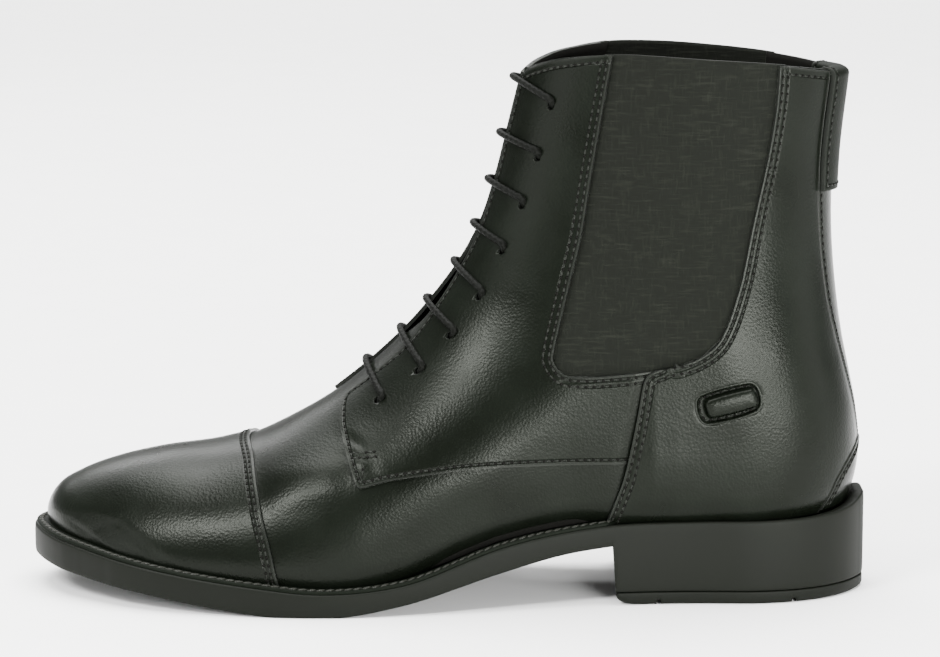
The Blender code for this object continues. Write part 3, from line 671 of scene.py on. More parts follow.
def patch(near, far, start, end, s, w):
    """Side-view points blended between four edge lines, at shares s along them and w across."""
    zero, one = np.zeros_like(s), np.ones_like(s)
    low = (1 - w)[..., None] * near(zero) + w[..., None] * far(zero)
    high = (1 - w)[..., None] * near(one) + w[..., None] * far(one)
    sides = (1 - w)[..., None] * near(s) + w[..., None] * far(s)
    return sides + (1 - s)[..., None] * (start(w) - low) + s[..., None] * (end(w) - high)


def shares(rows, columns):
    """Shares along and across a patch, for every point of its grid."""
    return np.meshgrid(rows, columns, indexing="ij")


# %% Helper: points beside a centre line
# Near its centre lines the last turns too fast for the side view, so points there are found by
# their offset from the middle instead.
INWARD = np.linspace(0.0, 6.5, 120) ** 2
NUDGE, SHORT = 0.6, 0.5


def reach_in(start, inward, y):
    """Depth inward from a centre line at which each row is as wide as its offsets y."""
    x = start[:, 0, None] + inward[:, 0, None] * INWARD
    z = start[:, 1, None] + inward[:, 1, None] * INWARD
    half = {side: np.maximum.accumulate(half_width(x, z, side), 1) for side in SIGN}
    found = [[np.interp(abs(v), half["lateral" if v < 0 else "medial"][i], INWARD) for v in row]
             for i, row in enumerate(y)]
    return np.array(found)


def front_points(s, y):
    """Points of the upper beside its ridge: a row of offsets y for each length s along it."""
    here = along_line(RIDGE_LINE, s)
    along = unit(along_line(RIDGE_LINE, s + SHORT) - along_line(RIDGE_LINE, s - SHORT))
    inward = np.stack([along[:, 1], -along[:, 0]], -1)
    flat = here[:, None] + inward[:, None] * reach_in(here, inward, y)[..., None]
    return np.stack([flat[..., 0], swing(flat[..., 0]) + y, flat[..., 1]], -1)


def back_points(y, z):
    """Points of the upper beside the middle of its back: a row of offsets y for each height z."""
    behind = np.interp(z, BACK_LINE["z"], BACK_LINE["x"])
    start = np.stack([behind, z], -1)
    depth = reach_in(start, np.array((-1.0, 0.0)) + 0 * start, y)
    return np.stack([behind[:, None] - depth, swing(behind)[:, None] + y, z[:, None] + 0 * y], -1)


def ridge_run(heights):
    """Lengths along the ridge where it reaches some heights."""
    return np.interp(heights, RIDGE_LINE["z"], RIDGE_LINE["s"])


def above(s, y, out):
    """Points raised from the upper beside its ridge, with their outward directions."""
    def at(ds, dy):
        return front_points(s + ds, (y + dy)[:, None])[:, 0]
    outward = unit(np.cross(at(NUDGE, 0.0) - at(-NUDGE, 0.0), at(0.0, NUDGE) - at(0.0, -NUDGE)))
    return at(0.0, 0.0) + outward * np.asarray(out)[..., None], outward


# %% Lace holes
# Places in the side view, and how far up the ridge the bar out of each hole rises.
HOLES = table("x z rise", (
    (35.9, 169.1, 5.3), (31.6, 151.7, 3.6), (26.2, 134.9, 3.8), (19.5, 119.4, 3.0),
    (11.6, 103.5, 3.3), (1.8, 90.4, 2.4), (-9.5, 78.4, 3.4), (-23.4, 68.3, 3.2),
))
HOLE_RADIUS, PIN_LENGTH = 1.3, 9.0
away = (HOLES["x"][:, None] - RIDGE_LINE["x"]) ** 2 + (HOLES["z"][:, None] - RIDGE_LINE["z"]) ** 2
HOLES["s"] = RIDGE_LINE["s"][away.argmin(1)]
for side in SIGN:
    HOLES[side] = SIGN[side] * half_width(HOLES["x"], HOLES["z"], side)


def hole_form(name, sides):
    """Pins that cut all the lace holes of some sides."""
    bm = bmesh.new()
    for side in sides:
        places, outward = above(HOLES["s"], HOLES[side], np.zeros(len(HOLES["s"])))
        for place, way in zip(places, outward):
            turn = Vector(way).to_track_quat("Z", "Y").to_matrix().to_4x4()
            bmesh.ops.create_cone(bm, cap_ends=True, segments=16, radius1=HOLE_RADIUS * MM,
                                  radius2=HOLE_RADIUS * MM, depth=PIN_LENGTH * MM,
                                  matrix=Matrix.Translation(metres(place)) @ turn)
    return new_object(name, bm)


print("lace holes:", len(HOLES["s"]), "on each side")

# %% [markdown]
# Leather that has been walked in once or twice keeps a few creases. Each is given as a line in the
# side view with a height over it, a soft ridge or a trough, that fades out toward both ends.

# %% Creases
# Start and end in the side view, height at the middle, and width.
CREASES = (
    ((-63.0, 42.5), (-36.0, 49.5), 0.3, 2.8), ((-64.0, 41.0), (-34.0, 48.0), 1.2, 12.0),
    ((-58.0, 33.0), (-36.0, 38.0), -0.2, 3.5),
    ((-35.0, 57.5), (-26.5, 54.0), -0.5, 1.5), ((-34.0, 52.5), (-24.0, 50.6), -0.5, 1.4),
    ((-32.0, 48.4), (-22.5, 47.6), -0.4, 1.3), ((-30.5, 55.0), (-27.0, 47.0), 0.35, 1.6),
)
CREASE_END, CREASE_FADE = 0.04, 0.6
# A last is drawn in toward the sole at the waist, between ball and heel. Along X the tuck grows
# over the first of two lengths and is lost over the second.
WAIST = table("z tuck", (
    (0, 3.0), (20, 2.9), (30, 2.6), (40, 1.9), (50, 1.2), (60, 0.5), (70, 0.1), (80, 0), (200, 0),
))
WAIST_FRONT, WAIST_BACK = (-30.0, 5.0), (57.0, 42.0)


def creases(points):
    """Height of the creases at points of the leather, less the tuck of the waist."""
    flat = points[..., [0, 2]]
    along = ramp(flat[..., 0], *WAIST_FRONT) * ramp(flat[..., 0], *WAIST_BACK)
    total = -along * curve(WAIST["z"], WAIST["tuck"], flat[..., 1])
    for start, end, height, wide in CREASES:
        way = np.subtract(end, start)
        t = np.clip((flat - start) @ way / (way @ way), 0.0, 1.0)
        off = np.linalg.norm(flat - start - t[..., None] * way, axis=-1)
        fade = np.sin(math.pi * np.clip(t, CREASE_END, 1 - CREASE_END)) ** CREASE_FADE
        total = total + height * np.exp(-(off / wide) ** 2) * fade
    return total


print("creases:", len(CREASES))

# %% [markdown]
# The upper is the hollow body under all the other leather: the vamp that shows between toe cap and
# facings, and the lining inside. Rings of points run round the last, closer together near its
# centre lines where it turns fastest, and stop short at the throat. Solidify gives the wall its 2
# mm toward the foot, and plain forms cut the two side windows as a knife would.

# %% Lines that bound the upper
SUNK = 2.2


def rising(line):
    """A centre line as a function of 0 at the sole to 1 at the collar."""
    s = np.linspace(-3.0, 3.0, 241)
    foot = along_line(line, s)
    first = s[np.abs(foot[:, 1] - seat(foot[:, 0]) + SUNK).argmin()]
    return lambda v: along_line(line, first + (line["length"] - first) * v)


ridge_up, back_up = rising(RIDGE_LINE), rising(BACK_LINE)
foot_line = between(ridge_up(0.0), back_up(0.0), lambda x: seat(x) - SUNK)
collar_line = between(ridge_up(1.0), back_up(1.0), collar)


def side_view(a, v):
    """Point of the side view: a runs from the ridge to the back, v from the sole to the collar."""
    return patch(ridge_up, back_up, foot_line, collar_line, v, a)


# %% Rings of the upper
AROUND, ROWS, ROW_CROWD = 360, 110, 1.3
SLOT = table("z half", (
    (85.0, 0.0), (88.0, 4.0), (92.0, 6.3), (102.0, 6.0), (125.0, 4.6), (195.0, 4.4),
))
OPENS = np.linspace(0.0, 0.5, 160)


def slot_turn(rise, side):
    """Turn from the ridge at which each row of the upper reaches the edge of the throat."""
    turn, rise = np.meshgrid(OPENS, rise)
    flat = side_view((1 - np.cos(turn)) / 2, rise)
    past = np.maximum.accumulate(half_width(flat[..., 0], flat[..., 1], side), 1)
    half = np.interp(flat[:, 0, 1], SLOT["z"], SLOT["half"])
    return np.array([np.interp(h, row, OPENS) if h > 0 else 0.0 for h, row in zip(half, past)])


def upper_rings():
    """Rings of points from the throat's outer edge round the heel to its inner edge."""
    rise = (np.arange(ROWS + 1) / ROWS) ** ROW_CROWD
    share = np.linspace(0.0, 1.0, AROUND // 2 + 1)
    halves, shut = [], np.ones(ROWS + 1, bool)
    for side in SIGN:
        first = slot_turn(rise, side)[:, None]
        shut &= first[:, 0] == 0.0
        turn = first + (math.pi - first) * share
        rings = on_side(side_view((1 - np.cos(turn)) / 2, rise[:, None] + 0 * turn), side)
        on_line = np.abs(np.sin(turn)) < TINY
        rings[..., 1] = np.where(on_line, swing(rings[..., 0]), rings[..., 1])
        halves.append(rings)
    rings = np.concatenate([halves[0], halves[1][:, -2::-1]], 1)
    rings = raise_grid(rings, creases(rings))
    rings[shut, 0] = rings[shut, -1] = (rings[shut, 0] + rings[shut, -1]) / 2
    return rings


# %% Helper: cut forms out of a piece


def form(name, outline, axis, low, high):
    """Cutting form: a closed outline pushed along an axis, in millimetres."""
    bm = bmesh.new()
    corners = [metres(np.insert(np.array(p, float), axis, low)) for p in outline]
    face = bm.faces.new([bm.verts.new(c) for c in corners])
    pushed = bmesh.ops.extrude_face_region(bm, geom=[face])["geom"]
    move = [0.0, 0.0, 0.0]
    move[axis] = (high - low) * MM
    moved = [v for v in pushed if isinstance(v, bmesh.types.BMVert)]
    bmesh.ops.translate(bm, vec=move, verts=moved)
    bmesh.ops.recalc_face_normals(bm, faces=bm.faces)
    return new_object(name, bm)


def cut_away(piece, cutters):
    """Cut forms out of a piece and clear them away."""
    for cutter in cutters:
        step = piece.modifiers.new(cutter.name, "BOOLEAN")
        step.operation = "DIFFERENCE"
        step.solver = "EXACT"
        step.object = cutter
    baked(piece)
    for cutter in cutters:
        bpy.data.objects.remove(cutter, do_unlink=True)
    return piece


# %% Upper
WALL, PANEL_TOP = 2.0, 1.3
# Edge of the elastic panel, from the collar down its front, along its foot and up its back.
ELASTIC_FRONT = (
    (56.0, 187.2), (52.2, 165.7), (48.6, 144.4), (45.3, 124.2), (41.3, 108.0), (37.3, 92.0),
)
ELASTIC_TOE = ((36.0, 86.0), (37.6, 81.4), (41.5, 79.2))
ELASTIC_FOOT = ((53.5, 79.1), (69.5, 80.7))
ELASTIC_HEEL = ((78.0, 82.3), (86.5, 85.9), (92.9, 92.3))
ELASTIC_BACK = (
    (96.9, 102.5), (99.9, 113.3), (103.2, 130.4), (107.1, 148.5), (110.0, 165.6), (111.3, 183.5),
)
# The window that is cut for it runs on past the collar, and through one side at a time.
WINDOW_TOP, WINDOW_DEEP = ((112.0, 200.0), (57.0, 200.0)), (14.0, 90.0)

upper = finish_piece("upper_wall", lay_grid(upper_rings(), weld=True), LEATHER,
                     stands_for=("upper",))
thicken(upper, WALL, lining=LINING)
window = ELASTIC_FRONT + ELASTIC_TOE + ELASTIC_FOOT + ELASTIC_HEEL + ELASTIC_BACK + WINDOW_TOP
cut_away(upper, [
    form("window_lateral", window, 1, -WINDOW_DEEP[1], -WINDOW_DEEP[0]),
    form("window_medial", window, 1, *WINDOW_DEEP),
    hole_form("lace_holes", SIGN),
])
print("upper:", len(upper.data.polygons), "faces")

# %% [markdown]
# All outer leather from here on is made in one way. A helper lays the grid, notes how far each of
# its points lies from the cut edges and from the rows of stitches, gives the sheet its thickness,
# and keeps the rows for the sewing at the end.

# %% Helper: a piece of outer leather
PANEL_CUT, PANEL_EDGE = 1.4, 0.3
sewn_sheets = []


def leather_piece(name, node, grid, rows, outward, edges, runs=None, material=LEATHER,
                  thick=PANEL_CUT, round_edge=PANEL_EDGE):
    """Sheet in the place of a solid. rows are its stitch rows, and edges say which ends are cut."""
    runs = runs or edge_runs(grid)
    sewn_sheets.append((grid, runs, rows))
    edge = np.minimum.reduce([runs[k] for k in edges])
    bm = lay_grid(grid, edge, stitch_distance(runs, rows))
    piece = finish_piece(name, bm, material, outward, (node,))
    return thicken(piece, thick, round_edge)


print("outer leather:", PANEL_CUT, "mm thick")

# %% [markdown]
# The toe cap is a separate piece of leather that is pulled over the toe and sewn down with two
# rows. Its sections run from sole to sole across the ridge, from a point at the toe back to the
# seam.

# %% Toe cap
CAP_SEAM = (
    (-66.8, 52.4), (-65.9, 48.0), (-64.3, 41.2), (-62.6, 34.2), (-59.4, 22.6), (-56.2, 8.6),
)
STITCH_IN, STITCH_TWO = 1.6, 3.1
CAP_ROWS, CAP_EDGE = (("end", STITCH_IN), ("end", STITCH_TWO)), 0.35


def cap_points():
    """Sections of the cap from the sole's outer side over the ridge to its inner side."""
    s = np.linspace(0.0, 1.0, 96) ** 1.2
    t = np.linspace(0.0, 1.0, 46) ** 2
    top_s = np.interp(CAP_SEAM[0][0], RIDGE_LINE["x"], RIDGE_LINE["s"])
    ridge = ridge_up(s * top_s / RIDGE_LINE["length"])
    low_x = ridge[0, 0] + (CAP_SEAM[-1][0] - ridge[0, 0]) * s
    low = np.stack([low_x, seat(low_x) - SUNK], -1)
    flat = (1 - t)[None, :, None] * ridge[:, None] + t[None, :, None] * low[:, None]
    seam = line_of((ridge[-1],) + CAP_SEAM[1:])(t)
    flat = flat + (s ** 3)[:, None, None] * (seam - flat[-1])[None]
    lateral, medial = on_side(flat, "lateral"), on_side(flat, "medial")
    lateral[:, 0, 1] = swing(lateral[:, 0, 0])
    return np.concatenate([lateral[:, ::-1], medial[:, 1:]], 1)


cap = raise_grid(cap_points(), PANEL_TOP)
leather_piece("toe_cap_leather", "toe_cap", cap, CAP_ROWS, (0, 0, 1), ("end",),
              round_edge=CAP_EDGE)
print("toe cap:", cap.shape[0], "sections")

# %% [markdown]
# The facings carry the lace holes. Each runs from the collar down beside the throat, turns the
# corner of the elastic panel and ends at the rear quarter. The two sides are one pattern turned
# over, apart from the edge beside the throat, which follows the swing of the foot.

# %% Facings
THROAT = table("z lateral medial", (
    (60, 24, 18), (66, 17, 9), (68, 14.5, 6.5), (70, 13, 5.5), (76, 12.5, 4.5), (86, 12, 3.5),
    (96, 9.5, 3.2), (102, 8, 3.5), (110, 6.5, 4), (125, 4.8, 4.4), (195, 4.4, 4.4),
))
THROAT_HEIGHTS = np.array((
    178.6, 165.0, 150.0, 135.0, 118.0, 102.0, 92.0, 85.0, 79.0, 74.5, 70.5, 67.8,
))
FACING_FRONT = (
    (-36.0, 64.2), (-35.6, 58.9), (-33.5, 51.9), (-30.9, 44.9), (-29.6, 42.7), (-27.0, 43.0),
    (-19.0, 45.2), (-5.5, 47.2), (7.2, 48.6), (31.5, 49.1), (63.0, 48.9),
)


def facing_points(side):
    heights = THROAT_HEIGHTS if side == "medial" else THROAT_HEIGHTS[:-1]
    half = SIGN[side] * np.interp(heights, THROAT["z"], THROAT[side])
    throat = front_points(ridge_run(heights), half[:, None])[:, 0, [0, 2]]
    outside = np.vstack([throat, FACING_FRONT])
    inside = ELASTIC_FRONT + ELASTIC_TOE + ELASTIC_FOOT
    last = len(outside) - 1
    near = line_of(outside, ((0, 0.0), (7, 0.45), (len(throat) + 8, 0.8), (last, 1.0)))
    far = line_of(inside, ((0, 0.0), (5, 0.45), (8, 0.8), (len(inside) - 1, 1.0)))
    start = between(throat[0], inside[0], collar)
    end = line_of((FACING_FRONT[-1], (66.4, 65.3), inside[-1]))
    grid = shares(np.linspace(0, 1, 250), np.linspace(0, 1, 46) ** 2)
    return on_side(patch(near, far, start, end, *grid), side)


# The rear end of a facing lies lower, because it slips under the quarter.
LAPPED, LAP_WIDE = 0.8, 5.0
FACING_ROWS = (("near", STITCH_IN), ("far", 1.3), ("far", 3.3), ("start", 2.4))
for side in SIGN:
    facing = facing_points(side)
    runs = edge_runs(facing)
    under = np.clip(1 - runs["end"] / LAP_WIDE, 0.0, 1.0) ** 0.5
    facing = raise_grid(facing, PANEL_TOP - LAPPED * under + creases(facing))
    piece = leather_piece("facing_leather_" + side, "facing_" + side, facing, FACING_ROWS,
                          (0, SIGN[side], 0), tuple(runs), runs)
    cut_away(piece, [hole_form("lace_holes", [side])])
print("facings:", facing.shape[0], "by", facing.shape[1], "points")

# %% [markdown]
# The rear quarters close the boot behind the elastic and hold the heel. They run from the collar to
# the sole, between the elastic panel with the side seam and the strip up the back.

# %% Edges of the rear quarters
STRIP = table("z half", (
    (45, 4.0), (52, 5.5), (60, 8.0), (80, 10.8), (100, 13.2), (195, 13.4),
))
PATCH = table("z half", (
    (24, 21.0), (36, 20.6), (41, 19.4), (46, 16.2), (50, 11.0), (52.3, 5.5), (53.2, 1.5),
))
STRIP_HEIGHTS = np.array((180.6, 165.0, 148.0, 130.0, 112.0, 98.0, 86.0, 74.0, 64.0, 56.0))
PATCH_HEIGHTS = np.array((52.4, 50.0, 46.0, 41.0, 36.0, 29.6))
QUARTER_SEAM = (
    (70.6, 80.9), (67.3, 78.7), (66.0, 74.6), (64.4, 65.3), (61.0, 48.9), (58.4, 39.8),
    (55.8, 32.9), (53.9, 27.6),
)
print("side seam:", len(QUARTER_SEAM), "points")

# %% Swell of the heel and place of the spur rests
COUNTER = table("z out", (
    (20, 0.2), (34, 1.6), (42, 2.5), (48, 2.7), (58, 2.2), (70, 1.4), (84, 0.5), (96, 0), (108, 0),
    (200, 0),
))
COUNTER_FRONT, COUNTER_BACK = (52.0, 70.0), (130.0, 78.0)


def counter(x, z):
    """Swell of the stiffener under the rear quarters, which fills them out round the heel."""
    up = curve(COUNTER["z"], COUNTER["out"], z)
    return up * ramp(x, *COUNTER_FRONT) * ramp(x, *COUNTER_BACK)


# Middle of the spur rest, its half length and half height, corner radius and slope.
SPUR_AT, SPUR_HALF, SPUR_CORNER, SPUR_TILT = (95.4, 69.9), (11.0, 5.6), 4.6, math.radians(14.0)
SPUR_SINK, SPUR_CLEAR = 1.5, 0.2


def spur_inset(x, z):
    """Distance inside the outline of the spur rest, a rounded oblong."""
    x, z = x - SPUR_AT[0], z - SPUR_AT[1]
    u = np.abs(x * math.cos(SPUR_TILT) + z * math.sin(SPUR_TILT)) - SPUR_HALF[0] + SPUR_CORNER
    v = np.abs(z * math.cos(SPUR_TILT) - x * math.sin(SPUR_TILT)) - SPUR_HALF[1] + SPUR_CORNER
    outside = np.hypot(np.maximum(u, 0.0), np.maximum(v, 0.0))
    return SPUR_CORNER - outside - np.minimum(np.maximum(u, v), 0.0)


# %% Rear quarters


def quarter_points(side):
    front = ELASTIC_BACK[::-1] + ELASTIC_HEEL[::-1] + QUARTER_SEAM
    strip = np.interp(STRIP_HEIGHTS, STRIP["z"], STRIP["half"])
    heel = np.interp(PATCH_HEIGHTS, PATCH["z"], PATCH["half"])
    half = SIGN[side] * np.concatenate([strip, heel])[:, None]
    behind = back_points(half, np.concatenate([STRIP_HEIGHTS, PATCH_HEIGHTS]))[:, 0, [0, 2]]
    near = line_of(front, ((0, 0.0), (7, 0.45), (10, 0.58), (len(front) - 1, 1.0)))
    far = line_of(behind, ((0, 0.0), (5, 0.45), (6, 0.58), (len(behind) - 1, 1.0)))
    start = between(front[0], behind[0], collar)
    end = between(front[-1], behind[-1], seat)
    grid = shares(np.linspace(0, 1, 150), np.linspace(0, 1, 60))
    return on_side(patch(near, far, start, end, *grid), side)


QUARTER_ROWS = (("near", 1.3), ("near", 3.3), ("start", 2.4))
for side in SIGN:
    quarter = quarter_points(side)
    x, z = quarter[..., 0], quarter[..., 2]
    sunk = SPUR_SINK * np.clip(spur_inset(x, z) - SPUR_CLEAR, 0.0, 1.0)
    quarter = raise_grid(quarter, PANEL_TOP + counter(x, z) - sunk)
    leather_piece("quarter_leather_" + side, "quarter_" + side, quarter, QUARTER_ROWS,
                  (0, SIGN[side], 0), ("near", "far", "start"))
print("quarters:", quarter.shape[0], "by", quarter.shape[1], "points")

# %% [markdown]
# The elastic panels are set in behind the leather, so their patch is a little larger than the
# window and its edges lie hidden under facing and quarter.

# %% Elastic panels
TUCKED = 3.0
ELASTIC_WALL, ELASTIC_LOW = 1.5, -0.25


def elastic_points(side):
    front = np.array(ELASTIC_FRONT + ((34.6, 84.0), (35.5, 75.5))) - (TUCKED, 0.0)
    rear = np.array(ELASTIC_BACK[::-1] + ((94.0, 93.0), (91.5, 81.5))) + (TUCKED, 0.0)
    near, far = line_of(front), line_of(rear)
    start = between(front[0], rear[0], collar)
    end = line_of((front[-1], (62.0, 76.6), rear[-1]))
    grid = shares(np.linspace(0, 1, 80), np.linspace(0, 1, 60))
    return on_side(patch(near, far, start, end, *grid), side)


for side in SIGN:
    panel = raise_grid(elastic_points(side), ELASTIC_LOW)
    piece = finish_piece("elastic_panel_" + side, lay_grid(panel), ELASTIC, (0, SIGN[side], 0),
                         ("gusset_" + side,))
    thicken(piece, ELASTIC_WALL)
print("elastic panels:", panel.shape[0], "by", panel.shape[1], "points")

# %% [markdown]
# A strip covers the seam up the back, a patch covers its foot, and a strap folds over the collar as
# a pull tab. All three straddle the middle of the back, so their grids are drawn straight across it
# by offset and height, and the last says how far back each point lies.

# %% Back strip and heel patch
ACROSS_STRIP = np.linspace(-1.0, 1.0, 41)
STRIP_RISE, STRIP_CLEAR = (52.6, 179.6), 0.2
PATCH_RISE, PATCH_LIFT = (31.0, 53.0), 0.35


def raised_back(y, z, out):
    """Grid over the back of the upper, raised from it."""
    return raise_grid(back_points(y, z), out, np.array((1.0, 0.0, 0.0)))


def strip_points():
    z = np.linspace(*STRIP_RISE, 110)
    half = np.interp(z, STRIP["z"], STRIP["half"]) - STRIP_CLEAR
    return raised_back(half[:, None] * ACROSS_STRIP, z, PANEL_TOP)


def heel_patch_points():
    low, high = PATCH_RISE
    z = low + (high - low) * np.linspace(0.0, 1.0, 44) ** 0.8
    half = curve(PATCH["z"], PATCH["half"], z)
    return raised_back(half[:, None] * ACROSS_STRIP, z, PANEL_TOP + PATCH_LIFT)


STRIP_ROWS = (("near", 1.5), ("far", 1.5))
PATCH_ROWS = (("near", 1.3), ("far", 1.3), ("near", 2.6), ("far", 2.6))
for name, grid, rows in (("back_strip", strip_points(), STRIP_ROWS),
                         ("heel_patch", heel_patch_points(), PATCH_ROWS)):
    leather_piece(name + "_leather", name, grid, rows, (1, 0, 0), ("near", "far"))
print("strip and patch made")

# %% Pull tab
TAB_HALF, TAB_LOW, TAB_TOP, TAB_IN_LOW = 13.0, 139.5, 179.4, 160.0
TAB_OUT, TAB_IN, TAB_ROUND = 3.4, 4.1, 2.2
TAB_THICK, TAB_EDGE = 1.8, 0.4
TAB_ROWS = (("near", 1.8), ("far", 1.8), ("start", 1.8))
TAB_TURN = np.linspace(0.0, math.pi, 9)[1:-1]


def tab_points():
    """Outer face of the strap: up the back, over the collar and down inside."""
    y = np.linspace(-TAB_HALF, TAB_HALF, 31)
    up = np.linspace(TAB_LOW, TAB_TOP, 40)
    down = np.linspace(TAB_TOP, TAB_IN_LOW, 20)
    outside = raised_back(y + 0 * up[:, None], up, TAB_OUT)
    inside = raised_back(y + 0 * down[:, None], down, -TAB_IN)
    middle, half = (outside[-1] + inside[0]) / 2, (outside[-1] - inside[0]) / 2
    over = [middle + half * math.cos(t) + np.array((0, 0, TAB_ROUND * math.sin(t)))
            for t in TAB_TURN]
    return np.concatenate([outside, np.array(over), inside])


tab = tab_points()
leather_piece("pull_tab_strap", "pull_tab", tab, TAB_ROWS, (1, 0, 0.2), ("near", "far", "start"),
              material=SOFT_LEATHER, thick=TAB_THICK, round_edge=TAB_EDGE)
print("pull tab:", tab.shape[0], "points along the strap")

# %% [markdown]
# A spur rest is a hard oblong pad under leather, set into the quarter above the heel so that a
# strap can't slide down. Rings at even insets from a rounded oblong give it an even groove where it
# is sewn, a steep shoulder and a slightly crowned top.

# %% Spur rests
SPUR_PROFILE = table("inset height", (
    (-0.9, 1.1), (-0.5, 1.4), (0.0, 1.4), (0.35, 1.1), (0.6, 0.5), (0.9, 0.2), (1.6, 0.15),
    (1.9, 0.5), (2.15, 1.4), (2.45, 2.1), (2.9, 2.5), (3.5, 2.72), (4.4, 2.85), (5.6, 2.9),
))
SPUR_SHIFT, SPUR_SHIFTED, SPUR_EVEN = 0.9, (0.5, 1.9), (0.2, 1.0)
SPUR_GROOVE, SPUR_ROWS, SPUR_WALL = 1.2, (("start", 2.1),), 0.8


def spur_points(side):
    """Rings of the pad from its rim inward. Its face is evened out to one smooth curve."""
    rim, face = np.linspace(-0.9, 3.0, 40), np.linspace(3.2, SPUR_HALF[1], 8)
    inset = np.concatenate([rim, face])[:, None]
    turn = np.linspace(0.0, 2 * math.pi, 97)[None]
    round_off = np.maximum(SPUR_CORNER - inset, 0.0)
    past = np.maximum(SPUR_CORNER, inset)
    u = np.clip(np.cos(turn) * 2.0, -1, 1) * (SPUR_HALF[0] - past) + round_off * np.cos(turn)
    v = np.clip(np.sin(turn) * 2.0, -1, 1) * (SPUR_HALF[1] - past) + round_off * np.sin(turn)
    u = u + SPUR_SHIFT * ramp(inset, *SPUR_SHIFTED)
    x = SPUR_AT[0] + u * math.cos(SPUR_TILT) - v * math.sin(SPUR_TILT)
    z = SPUR_AT[1] + u * math.sin(SPUR_TILT) + v * math.cos(SPUR_TILT)
    y = on_side(np.stack([x, z], -1), side)[..., 1] + SIGN[side] * counter(x, z)
    terms = np.stack([np.ones_like(u), u, v, u * u, u * v, v * v], -1)
    even = terms @ np.linalg.lstsq(terms.reshape(-1, 6), y.ravel(), rcond=None)[0]
    y = y + (even - y) * ramp(inset, *SPUR_EVEN)
    height = np.interp(inset, SPUR_PROFILE["inset"], SPUR_PROFILE["height"])
    return np.stack([x, y + SIGN[side] * height, z], -1), inset + 0 * turn


for side in SIGN:
    rest, inset = spur_points(side)
    bm = lay_grid(rest, row=np.abs(inset - SPUR_GROOVE), weld=True)
    piece = finish_piece("spur_rest_pad_" + side, bm, LEATHER, (0, SIGN[side], 0),
                         ("spur_rest_" + side,))
    sewn_sheets.append((rest, edge_runs(rest), SPUR_ROWS))
    thicken(piece, SPUR_WALL)
print("spur rests made")

# %% [markdown]
# The tongue lies behind the lacing and keeps it off the foot. It only shows as a dark strip between
# the facings, so a plain curved sheet along the ridge is enough.

# %% Tongue
TONGUE_OUT, TONGUE_WALL, TONGUE_HALF = -4.7, 1.5, 18.0
TONGUE_RISE, TONGUE_WAY = np.array((66.0, 173.0)), np.array((-1.0, 0.0, 0.6))
tongue_s = np.linspace(*ridge_run(TONGUE_RISE), 70)
tongue_y = np.linspace(-TONGUE_HALF, TONGUE_HALF, 37)
tongue = front_points(tongue_s, tongue_y + 0 * tongue_s[:, None])
tongue = raise_grid(tongue, TONGUE_OUT, TONGUE_WAY)
piece = finish_piece("tongue_sheet", lay_grid(tongue), SOFT_LEATHER, TONGUE_WAY, ("tongue",))
thicken(piece, TONGUE_WALL, PANEL_EDGE)
print("tongue", round(longest(tongue)), "mm long")

# %% [markdown]
# The sole is a moulded rubber body with a raised rim that the upper stands in, an arch under the
# waist and a block for the heel. Its sections run across the boot and follow the outline square on,
# so the side band keeps the same face round the toe as along the side.

# %% Outline of the sole
BREAST_X, BREAST_LEAN, BREAST_TURN, TURN_LENGTH = 57.0, 1.2, 3.4, 22.0
TREAD = table("x z", (
    (-145, 11.6), (-138, 10.5), (-126, 8.6), (-100, 5.2), (-78, 2.2), (-58, 0.0), (-36, 0.0),
    (-16, 3.4), (18, 13.4), (40, 18.6), (57, 20.8),
))
# The rim's top is narrow along the heel, with an open groove inside it, and broad behind. Insets
# past LIP_FROM are drawn in to this share.
LIP = table("x share", ((-145, 1.0), (40, 1.0), (56, 0.3), (116, 0.3), (136, 0.9), (145, 1.0)))
LIP_FROM, FOOT_LIFT = 0.9, 0.3


def sole_outline(xs):
    """Foot of the upper at stations along X: both sides' points, with their outward directions."""
    turned = xs + BREAST_TURN * np.exp(-((xs - BREAST_X) / TURN_LENGTH) ** 2)
    sides = [on_side(np.stack([x, seat(x) + FOOT_LIFT], -1), side)[:, :2]
             for x, side in ((xs, "lateral"), (turned, "medial"))]
    for line in sides:
        line[0, 1] = swing(xs[0])
        line[-1, 1] = swing(xs[-1])
    ring = np.concatenate([sides[0], sides[1][-2:0:-1]])
    ahead = np.roll(ring, -1, 0) - np.roll(ring, 1, 0)
    outward = unit(np.stack([ahead[:, 1], -ahead[:, 0]], -1))
    if ((ring - ring.mean(0)) * outward).sum() < 0:
        outward = -outward
    count = len(xs)
    medial = np.concatenate([[0], np.arange(len(ring) - 1, count - 1, -1), [count - 1]])
    return [(ring[:count], outward[:count]), (ring[medial], outward[medial])]


def stations(start, end, count):
    """Places along X, closer together at both round ends."""
    return start + (end - start) * (1 - np.cos(np.linspace(0.0, math.pi, count))) / 2


# %% Helper: sections of the sole


def sole_layer(xs, profile_rows, low, high):
    """Grid of closed sections: the outer side's profile downward, then the inner side's upward.

    A row has an inset from the rim, a share of the way across from there, and a drop from the top
    or a rise from the bottom.
    """
    outlines = sole_outline(xs)

    def at(n, inset, lip):
        foot, outward = outlines[n]
        if lip and inset > LIP_FROM:
            share = np.interp(foot[:, 0], LIP["x"], LIP["share"])
            inset = LIP_FROM + (inset - LIP_FROM) * share
        return foot + outward * (curve(RIM["x"], RIM["out"], foot[:, 0]) - inset)[:, None]

    sides = []
    for this, other in ((0, 1), (1, 0)):
        line = []
        for inset, share, from_top, from_low in profile_rows:
            flat = at(this, inset, from_low is None)
            flat = flat + share * (at(other, inset, from_low is None) - flat)
            z = high(outlines[this][0][:, 0]) - from_top if from_low is None else low + from_low
            line.append(np.column_stack([flat, z]))
        sides.append(line)
    return np.stack(sides[0] + sides[1][::-1] + sides[0][:1], 1)


